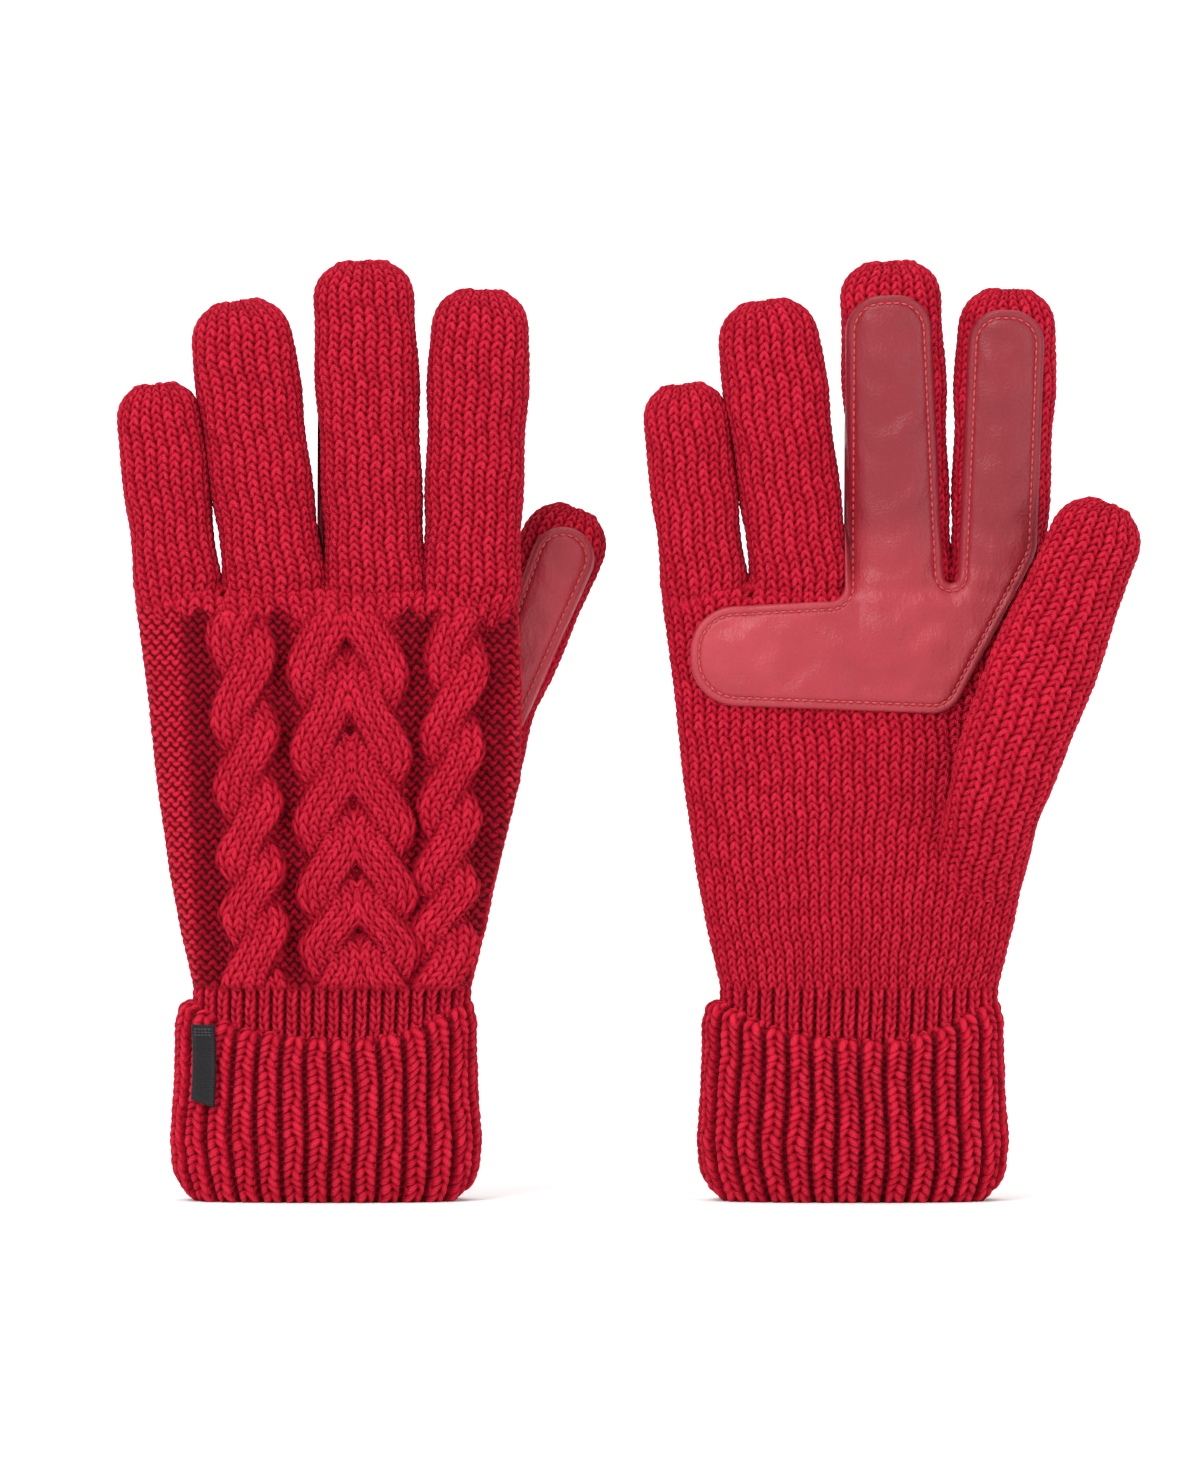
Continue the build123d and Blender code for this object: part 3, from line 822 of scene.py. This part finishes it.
def depth_inside(points, outline):
    """Distance from each point to the outline, below zero outside it."""
    start, finish = outline, np.roll(outline, -1, axis=0)
    edge_line = finish - start
    offset = points[:, None, :] - start[None]
    t = np.clip((offset * edge_line).sum(2) / (edge_line ** 2).sum(1), 0, 1)
    gap = np.linalg.norm(offset - t[:, :, None] * edge_line, axis=2).min(1)
    x, z = points[:, 0:1], points[:, 1:2]
    x0, z0, x1, z1 = start[:, 0], start[:, 1], finish[:, 0], finish[:, 1]
    crosses = (z0 > z) != (z1 > z)
    rise = np.where(z1 == z0, 1e-9, z1 - z0)
    hits = crosses & (x < x0 + (z - z0) / rise * (x1 - x0))
    return gap * np.where(hits.sum(1) % 2 == 1, 1.0, -1.0)


def leather_face(digits):
    """The height of the leather's own surface over the palm and the two fingers."""
    fingers = [digits[name] for name in FINGERS]

    def rest(x, z):
        palm = hand_face(fingers, x, z) + STITCH_RELIEF * smooth(HAND_TOP, HAND_CLOSING, z)
        above = finger_face(fingers, x, z)
        return np.log(np.exp(SOFTNESS * palm) + np.exp(SOFTNESS * above)) / SOFTNESS

    def height(x, z):
        under = rest(x, z)
        bridged = np.maximum.reduce([under, *(rest(x + step, z) for step in BRIDGE_STEPS)])
        return under + (bridged - under) * smooth(BRIDGE_END, BRIDGE_START, z)

    return height


def thumb_face(digit, side):
    """The height of the thumb's far face, which turns towards the hand."""
    def height(x, z):
        across, along = digit.place(x, z)
        stretch = thumb_stretch(side)(along)
        width = digit.half_width * stretch
        round_off = np.clip((along - (digit.reach - DOME_HEIGHT)) / DOME_HEIGHT, 0, 1)
        dome = np.clip(1 - round_off ** DOME_POWER, 0, 1) ** (1 / DOME_POWER)
        half_depth = stretch * digit.half_depth
        return half_depth * bulge(across / width, SECTION_POWER) * dome - digit.hinge[1]

    return height


def make_skin(glove, outline, height, facing, regions, leather, thread):
    """A leather patch and its line of stitches, cut into pieces by regions.

    regions maps a piece's name to a test of a point and to a call made on the piece: the palm's
    attaches it to the hand, the others bake its transform.
    """
    rings = [outline]
    for amount in RING_INSETS:
        rings.append(inwards(outline, amount))
    low, high = outline.min(0), outline.max(0)
    x, z = np.meshgrid(
        np.arange(low[0], high[0], POINT_SPACING), np.arange(low[1], high[1], POINT_SPACING)
    )
    x = x + POINT_SPACING / 2 * (np.arange(x.shape[0]) % 2)[:, None]
    inner = np.stack([x.ravel(), z.ravel()], 1)
    inner = inner[depth_inside(inner, outline) > INNER_INSET]
    points = np.vstack(rings + [inner])
    edges = [(k, (k + 1) % len(outline)) for k in range(len(outline))]
    found = delaunay_2d_cdt([Vector(p) for p in points.tolist()], edges, [], 1, 1e-5)
    flat = np.array([tuple(p) for p in found[0]])
    faces = np.array(found[2], np.int32)
    inside = np.abs(depth_inside(flat, outline))
    roll = np.interp(inside, ROLL_INSETS, ROLL_HEIGHTS) * LEATHER
    seam = np.exp(-(((inside - SEAM_INSET) / 0.55) ** 2))
    crease = CREASE * np.sin(flat[:, 0] * 0.33 + 1.9 * np.sin(flat[:, 1] * 0.11)) * np.sin(
        flat[:, 1] * 0.17 + 1.3 * np.sin(flat[:, 0] * 0.15)
    )
    crease += 0.4 * CREASE * np.sin(flat[:, 1] * 0.62 + 2.4 * np.sin(flat[:, 0] * 0.21))
    y = height(flat[:, 0], flat[:, 1]) + roll - 0.5 * seam + crease * smooth(2.5, 6, inside)
    body = np.stack([flat[:, 0], y * facing, flat[:, 1]], 1)
    first = flat[faces[:, 1]] - flat[faces[:, 0]]
    second = flat[faces[:, 2]] - flat[faces[:, 0]]
    turned = first[:, 0] * second[:, 1] - first[:, 1] * second[:, 0] > 0
    faces = np.where((turned == (facing > 0))[:, None], faces[:, ::-1], faces)

    line = even(inwards(outline, SEAM_INSET), STITCH_PITCH)
    tangent = np.roll(line, -1, axis=0) - np.roll(line, 1, axis=0)
    tangent /= np.linalg.norm(tangent, axis=1, keepdims=True)
    ends = [line + tangent * STITCH_LENGTH / 2 * sign for sign in (-1, 1)]
    starts, stops = (
        np.stack([x, (height(x, z) + LEATHER - STITCH_SINK) * facing, z], 1)
        for x, z in (end.T for end in ends)
    )
    stitch_points, stitch_faces = capsules(starts, stops, STITCH_RADIUS)
    per = len(stitch_points) // len(line)
    middles = np.repeat((starts + stops) / 2, per, axis=0)

    centres = body[faces].mean(1)
    for key, (test, attach) in regions.items():
        chosen = test(centres[:, 0], centres[:, 2])
        used, index = np.unique(faces[chosen], return_inverse=True)
        patch = new_object(
            f"{glove.side}_{key}_patch", glove, body[used], index.reshape(-1, 3), leather,
            {"seam": seam[used], "inside": inside[used]},
        )
        attach(patch)
        mine = test(middles[:, 0], middles[:, 2])
        keep = mine[stitch_faces[:, 0]]
        used, index = np.unique(stitch_faces[keep], return_inverse=True)
        seam_piece = new_object(
            f"{glove.side}_{key}_topstitch", glove, stitch_points[used], index.reshape(-1, 4),
            thread,
        )
        attach(seam_piece)
        node = f"{glove.side}_{key}"
        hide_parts(f"{node}_leather")
        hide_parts(f"{node}_thread")


def capsules(starts, stops, radius):
    """Round-ended rods from each start to each stop, as points and four-sided faces."""
    sides = 7
    shape = (
        (-1.0, 0.05), (-0.92, 0.55), (-0.6, 0.93), (0.0, 1.05), (0.6, 0.93), (0.92, 0.55), (1.0, 0.05),
    )
    axis = stops - starts
    length = np.linalg.norm(axis, axis=1, keepdims=True)
    axis = axis / length
    side = np.cross(axis, np.array([0.0, 1.0, 0.0]))
    side /= np.linalg.norm(side, axis=1, keepdims=True)
    up = np.cross(side, axis)
    angle = np.arange(sides) * 2 * pi / sides
    rings = []
    for place, width in shape:
        centre = (starts + stops) / 2 + axis * length / 2 * place
        spread = side[:, None] * np.cos(angle)[:, None] + up[:, None] * np.sin(angle)[:, None]
        rings.append(centre[:, None] + spread * radius * width)
    points = np.stack(rings, 1)
    count = len(starts)
    base = (np.arange(count) * len(shape) * sides)[:, None, None]
    i, j = np.meshgrid(np.arange(len(shape) - 1), np.arange(sides), indexing="ij")
    k = (j + 1) % sides
    quad = np.stack([i * sides + j, i * sides + k, (i + 1) * sides + k, (i + 1) * sides + j], 2)
    faces = base[..., None] + quad.reshape(1, -1, 1, 4)
    return points.reshape(-1, 3), faces.reshape(-1, 4)


def make_leather(glove, digits, leather, thread):
    side = glove.side

    def bend(name, part):
        digit = digits[name]
        if part == "base":
            bodies, distance = (f"{side}_hand", f"{side}_{name}_base"), 0.0
        else:
            bodies, distance = (f"{side}_{name}_base", f"{side}_{name}_tip"), digit.span
        reach = min(12.0, 0.48 * digit.span)
        return lambda piece: join(glove, piece, digit, *bodies, distance, reach)

    def region(name, part):
        digit = digits[name]

        def test(x, z):
            high = digit.place(x, z)[1] > digit.span / 2
            if name == "thumb":
                mine = np.ones(x.shape, bool)
            else:
                crotch = split_line(digits, z)
                mine = (z > LEATHER_SPLIT) & ((x < crotch) == (name == "middle"))
            return mine & (high if part == "tip" else ~high)

        return test

    def on_palm(x, z):
        return z <= LEATHER_SPLIT

    def ride_hand(piece):
        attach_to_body(piece, f"{side}_hand")

    regions = {"palm": (on_palm, ride_hand)}
    for name in ("middle", "index"):
        for part in ("base", "tip"):
            regions[f"{name}_{part}"] = (region(name, part), bend(name, part))
    outline = rounded(hand_outline(digits))
    make_skin(glove, outline, leather_face(digits), 1, regions, leather, thread)
    thumb = digits["thumb"]
    outline = rounded(thumb_outline(thumb))
    regions = {
        f"thumb_{part}": (region("thumb", part), bend("thumb", part)) for part in ("base", "tip")
    }
    make_skin(glove, outline, thumb_face(thumb, side), -1, regions, leather, thread)


def split_line(digits, z):
    """Between the middle and the index finger."""
    middle, index = digits["middle"], digits["index"]
    at_middle = middle.hinge[0] + (z - middle.hinge[2]) * middle.along[0]
    at_index = index.hinge[0] + (z - index.hinge[2]) * index.along[0]
    return (at_middle + at_index) / 2


# ---- The label ------------------------------------------------------------------------------
LABEL_SLANT = 2.2           # its lower end is cut at a slant
LABEL_WIDTH, LABEL_LENGTH = 6.4, 22.0
LABEL_COLUMNS, LABEL_ROWS = 22, 70


def make_label(glove, woven, thread):
    """A blank woven tape on the cuff, sewn down at its top."""
    low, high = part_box("left_cuff_label")
    left, right = low.x / MM - glove.centre, high.x / MM - glove.centre
    bottom, top = low.z / MM, high.z / MM
    cuff_low, cuff_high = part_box("left_cuff")
    half_width = (cuff_high.x - cuff_low.x) / 2 / MM
    half_depth = (cuff_high.y - cuff_low.y) / 2 / MM
    x, t = np.meshgrid(np.linspace(0, 1, LABEL_COLUMNS), np.linspace(0, 1, LABEL_ROWS))
    across = left + (right - left) * x + 0.4 * np.sin(t * 3.0)
    floor = bottom + LABEL_SLANT * (1 - x)
    z = floor + (top - floor) * t
    stand = half_depth * bulge(across / (half_width + 1.5), CUFF_POWER) + 0.7
    stand = stand + 0.45 * np.sin(x * pi) + 0.5 * (1 - t) * (1 - t) + 0.12 * np.sin(t * 14)
    rim = np.minimum(np.minimum(x, 1 - x) * LABEL_WIDTH, np.minimum(t, 1 - t) * LABEL_LENGTH)
    stand = stand - 0.7 * np.clip(1 - rim / 0.35, 0, 1) ** 2
    points = np.stack([across, -stand, z], 2)
    # Painted highlight on a band just inside the tape's rolled-down edge.
    selvedge_highlight = np.clip(1 - np.abs(rim - 0.9) / 0.5, 0, 1)
    piece = grid_object(
        "left_cuff_tape", glove, points, {"painted_highlight": selvedge_highlight}, woven,
        (0, LABEL_ROWS - 1), (0, LABEL_COLUMNS - 1), False,
    )
    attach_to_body(piece, "left_cuff")
    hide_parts("left_cuff_label")
    starts, stops = [], []
    for row in range(3):
        for column in range(5):
            at = left + 0.9 + (right - left - 1.8) * (column + 0.5) / 5
            level = top - 1.3 - 0.75 * row
            face = half_depth * bulge(at / (half_width + 1.5), CUFF_POWER) + 1.15
            starts.append((at - 0.42, -face, level + 0.1))
            stops.append((at + 0.42, -face, level - 0.1))
    rods, faces = capsules(np.array(starts), np.array(stops), 0.22)
    bar = new_object("left_cuff_tape_thread", glove, rods, faces, thread)
    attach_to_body(bar, "left_cuff")
    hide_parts("left_cuff_label_thread")


# ---- Materials ------------------------------------------------------------------------------
def srgb(red, green, blue):
    """A colour given as it looks on a screen, 0 to 255, as the renderer's linear one."""
    def linear(c):
        c /= 255
        return c / 12.92 if c <= 0.04045 else ((c + 0.055) / 1.055) ** 2.4
    return (linear(red), linear(green), linear(blue), 1.0)


class Shader:
    """A material under construction: one principled surface and the nodes that feed it."""

    def __init__(self, name, **sockets):
        self.material = bpy.data.materials.new(name)
        self.material.use_nodes = True
        self.tree = self.material.node_tree
        self.tree.nodes.clear()
        self.surface = self.node("ShaderNodeBsdfPrincipled")
        output = self.node("ShaderNodeOutputMaterial")
        self.link(self.surface.outputs[0], output.inputs["Surface"])
        for key, value in sockets.items():
            self.surface.inputs[key.replace("_", " ")].default_value = value

    def node(self, kind, **settings):
        made = self.tree.nodes.new(kind)
        for key, value in settings.items():
            setattr(made, key, value)
        return made

    def link(self, source, target):
        self.tree.links.new(source, target)

    def attribute(self, name):
        return self.node("ShaderNodeAttribute", attribute_name=name).outputs["Fac"]

    def place(self):
        return self.node("ShaderNodeTexCoord").outputs["Object"]

    def noise(self, scale, detail=3.0, roughness=0.55, stretch=None):
        source = self.place()
        if stretch:
            mapping = self.node("ShaderNodeMapping")
            mapping.inputs["Scale"].default_value = stretch
            self.link(source, mapping.inputs["Vector"])
            source = mapping.outputs[0]
        made = self.node("ShaderNodeTexNoise")
        made.inputs["Scale"].default_value = scale
        made.inputs["Detail"].default_value = detail
        made.inputs["Roughness"].default_value = roughness
        self.link(source, made.inputs["Vector"])
        return made.outputs["Fac"]

    def fill(self, sockets, values):
        """Put each value in its socket, as a link if it is another node's output."""
        for socket, value in zip(sockets, values):
            if hasattr(value, "is_output"):
                self.link(value, socket)
            else:
                socket.default_value = value

    def math(self, operation, a, b=0.0, c=0.0):
        made = self.node("ShaderNodeMath", operation=operation)
        self.fill(made.inputs, (a, b, c))
        return made.outputs[0]

    def ramp(self, factor, *stops):
        made = self.node("ShaderNodeValToRGB")
        elements = made.color_ramp.elements
        while len(elements) < len(stops):
            elements.new(0.5)
        for element, (position, colour) in zip(elements, stops):
            element.position = position
            element.color = colour
        self.link(factor, made.inputs[0])
        return made.outputs[0]

    def blend(self, factor, first, second):
        made = self.node("ShaderNodeMix", data_type="RGBA")
        self.fill((made.inputs[0], made.inputs[6], made.inputs[7]), (factor, first, second))
        return made.outputs[2]

    def bump(self, height, distance, normal=None):
        made = self.node("ShaderNodeBump")
        made.inputs["Strength"].default_value = 1.0
        made.inputs["Distance"].default_value = distance
        self.link(height, made.inputs["Height"])
        if normal:
            self.link(normal, made.inputs["Normal"])
        return made.outputs[0]

    def feed(self, socket, source):
        self.link(source, self.surface.inputs[socket])


def wool(name, plies):
    """Soft-spun yarn: painted shade darkens it in the valleys, with twisted plies and a fine fuzz."""
    shader = Shader(
        name, Roughness=0.88, Specular_IOR_Level=0.12, Sheen_Weight=0.10, Sheen_Roughness=0.45,
        Sheen_Tint=srgb(255, 60, 90),
    )
    # The shade attribute is painted shade: darker in the stitches' valleys and the ribs' hollows.
    painted_shade = shader.attribute("shade")
    fibre = shader.noise(2600, 3.0)
    patches = shader.noise(55, 2.0)
    level = shader.math("MULTIPLY_ADD", shader.attribute("luck"), 0.10, painted_shade)
    level = shader.math("MULTIPLY_ADD", fibre, 0.34, level)
    level = shader.math("SUBTRACT", level, 0.20)
    colour = shader.ramp(
        level,
        (0.0, srgb(66, 0, 8)),
        (0.30, srgb(124, 0, 20)),
        (0.66, srgb(172, 4, 34)),
        (1.0, srgb(212, 34, 60)),
    )
    colour = shader.blend(shader.math("MULTIPLY", patches, 0.22), colour, srgb(128, 6, 24))
    shader.feed("Base Color", colour)
    twist = shader.math("MULTIPLY_ADD", shader.attribute("along"), plies, shader.attribute("across"))
    twist = shader.math("SINE", shader.math("MULTIPLY", twist, 7.5))
    ply = shader.bump(twist, 0.00011)
    shader.feed("Normal", shader.bump(shader.noise(4200, 2.0), 0.00016, ply))
    return shader.material


def grip_leather():
    """Smooth dyed leather: fine pores, soft creases, a dry satin shine, and painted shade up the
    fingers and along the seam's groove.
    """
    shader = Shader("grip_leather", Specular_IOR_Level=0.36, Coat_Weight=0.05, Coat_Roughness=0.4)
    broad = shader.noise(38, 3.0)
    colour = shader.ramp(
        broad,
        (0.25, srgb(142, 30, 42)),
        (0.55, srgb(158, 42, 54)),
        (0.80, srgb(170, 54, 64)),
    )
    # Painted shade: the leather is darkened with height, up the fingers' strips.
    height = shader.node("ShaderNodeSeparateXYZ")
    shader.link(shader.place(), height.inputs[0])
    painted_finger_shade = shader.math("MULTIPLY_ADD", height.outputs[2], 28.0, -4.5)
    painted_finger_shade = shader.math("MINIMUM", shader.math("MAXIMUM", painted_finger_shade, 0.0), 0.62)
    colour = shader.blend(painted_finger_shade, colour, srgb(104, 8, 22))
    # Painted shade in the groove along the stitching.
    seam_groove_shade = shader.attribute("seam")
    colour = shader.blend(shader.math("MULTIPLY", seam_groove_shade, 0.55), colour, srgb(132, 20, 36))
    shader.feed("Base Color", colour)
    shader.feed("Roughness", shader.math("MULTIPLY_ADD", shader.noise(900, 2.0), 0.16, 0.36))
    pores = shader.node("ShaderNodeTexVoronoi", feature="F1")
    pores.inputs["Scale"].default_value = 1500
    shader.link(shader.place(), pores.inputs["Vector"])
    grain = shader.bump(pores.outputs["Distance"], 0.00009)
    creases = shader.noise(170, 4.0, 0.6, (1.0, 1.0, 0.35))
    shader.feed("Normal", shader.bump(creases, 0.00075, grain))
    return shader.material


def sewing_thread(name, colour, dark):
    shader = Shader(name, Roughness=0.5, Sheen_Weight=0.2)
    shader.feed("Base Color", shader.ramp(shader.noise(2400, 2.0), (0.3, dark), (0.7, colour)))
    shader.feed("Normal", shader.bump(shader.noise(3800, 1.0, 0.5, (1.0, 1.0, 0.4)), 0.00012))
    return shader.material


def woven_tape():
    """Black satin-woven tape: fine ribs one way, and a painted highlight on a band round its edge in
    place of a raised selvedge.
    """
    shader = Shader("woven_tape", Roughness=0.6, Specular_IOR_Level=0.25)
    fine = shader.noise(1700, 2.0)
    # The tape's colour is lighter on the edge band: a painted highlight.
    level = shader.math("MULTIPLY_ADD", shader.attribute("painted_highlight"), 0.3, fine)
    shader.feed("Base Color", shader.ramp(level, (0.3, srgb(7, 6, 8)), (1.0, srgb(30, 28, 32))))
    weave = shader.node("ShaderNodeTexWave", wave_type="BANDS", bands_direction="Z")
    weave.inputs["Scale"].default_value = 620
    weave.inputs["Distortion"].default_value = 0.4
    shader.link(shader.place(), weave.inputs["Vector"])
    shader.feed("Normal", shader.bump(weave.outputs["Fac"], 0.00013))
    return shader.material


def paper(name, colour):
    """Seamless studio paper."""
    return Shader(name, Roughness=0.9, Specular_IOR_Level=0.1, Base_Color=colour).material


# ---- Studio ---------------------------------------------------------------------------------
VIEW_DISTANCE = 2.2
VIEW_HEIGHT = 0.3888        # the frame's height at the gloves
# The paper sweep, in metres
FLOOR_FRONT, FLOOR_BACK, FLOOR_SIDE = -8.0, 2.6, 7.0
SWEEP_RADIUS, SWEEP_STEPS, WALL_HEIGHT = 0.9, 16, 4.0


def make_studio():
    """A pale paper sweep: a flat floor that curves up into a wall."""
    profile = [(FLOOR_FRONT, 0.0)]
    for step in range(SWEEP_STEPS + 1):
        angle = radians(90 * step / SWEEP_STEPS)
        profile.append((
            FLOOR_BACK + SWEEP_RADIUS * np.sin(angle), SWEEP_RADIUS * (1 - cos(angle)),
        ))
    profile.append((FLOOR_BACK + SWEEP_RADIUS, WALL_HEIGHT))
    points = [(x, y, z) for x in (-FLOOR_SIDE, FLOOR_SIDE) for y, z in profile]
    count = len(profile)
    faces = [(k, k + count, k + count + 1, k + 1) for k in range(count - 1)]
    mesh = bpy.data.meshes.new("paper_sweep")
    mesh.from_pydata(points, [], faces)
    mesh.polygons.foreach_set("use_smooth", [True] * len(faces))
    mesh.materials.append(paper("white_paper", (0.93, 0.93, 0.93, 1.0)))
    sweep_object = bpy.data.objects.new("paper_sweep", mesh)
    bpy.context.scene.collection.objects.link(sweep_object)


def add_light(name, place, target, size, power):
    light = bpy.data.lights.new(name, "AREA")
    light.shape = "RECTANGLE"
    light.size, light.size_y = size
    light.energy = power
    lamp = bpy.data.objects.new(name, light)
    lamp.location = place
    lamp.rotation_euler = (Vector(target) - Vector(place)).to_track_quat("-Z", "Y").to_euler()
    bpy.context.scene.collection.objects.link(lamp)


def make_lights():
    aim = (0.0, 0.0, 0.12)
    add_light("key", (-0.9, -1.5, 1.5), aim, (1.0, 1.0), 30)
    add_light("fill", (1.5, -1.7, 0.6), aim, (1.2, 1.2), 12)
    add_light("top", (0.0, -0.1, 2.0), aim, (1.6, 1.2), 14)
    add_light("wall", (0.0, 1.4, 2.6), (0.0, 3.4, 0.9), (3.0, 1.0), 60)
    world = bpy.data.worlds.new("studio_air")
    world.use_nodes = True
    world.node_tree.nodes["Background"].inputs["Color"].default_value = (1.0, 1.0, 1.0, 1.0)
    world.node_tree.nodes["Background"].inputs["Strength"].default_value = 0.75
    bpy.context.scene.world = world
    bpy.context.scene.view_settings.view_transform = "Standard"


def make_camera():
    camera = bpy.data.cameras.new("camera")
    camera.sensor_width = 36.0
    camera.lens = camera.sensor_width * VIEW_DISTANCE / VIEW_HEIGHT
    camera.clip_end = 20.0
    eye = bpy.data.objects.new("camera", camera)
    eye.location = (-0.0072, -VIEW_DISTANCE, 0.1236)
    eye.rotation_euler = (radians(90), 0, 0)
    bpy.context.scene.collection.objects.link(eye)
    bpy.context.scene.camera = eye


# ---- The pair -------------------------------------------------------------------------------
knit = wool("wool_knit", 1.6)
rib_knit = wool("cuff_rib_knit", 1.6)
hide = grip_leather()
topstitch = sewing_thread("topstitch_thread", srgb(222, 62, 62), srgb(168, 24, 34))
tape = woven_tape()
tape_thread = sewing_thread("label_thread", srgb(46, 42, 48), srgb(14, 12, 16))

for side in ("left", "right"):
    glove = Glove(side)
    digits = {name: Digit(glove, name) for name in (*FINGERS, "thumb")}
    for digit in digits.values():
        make_digit(glove, digit, knit)
    make_hand(glove, [digits[name] for name in FINGERS], knit)
    make_cuff(glove, rib_knit)
    make_leather(glove, digits, hide, topstitch)
    if side == "left":
        make_label(glove, tape, tape_thread)

make_studio()
make_lights()
make_camera()
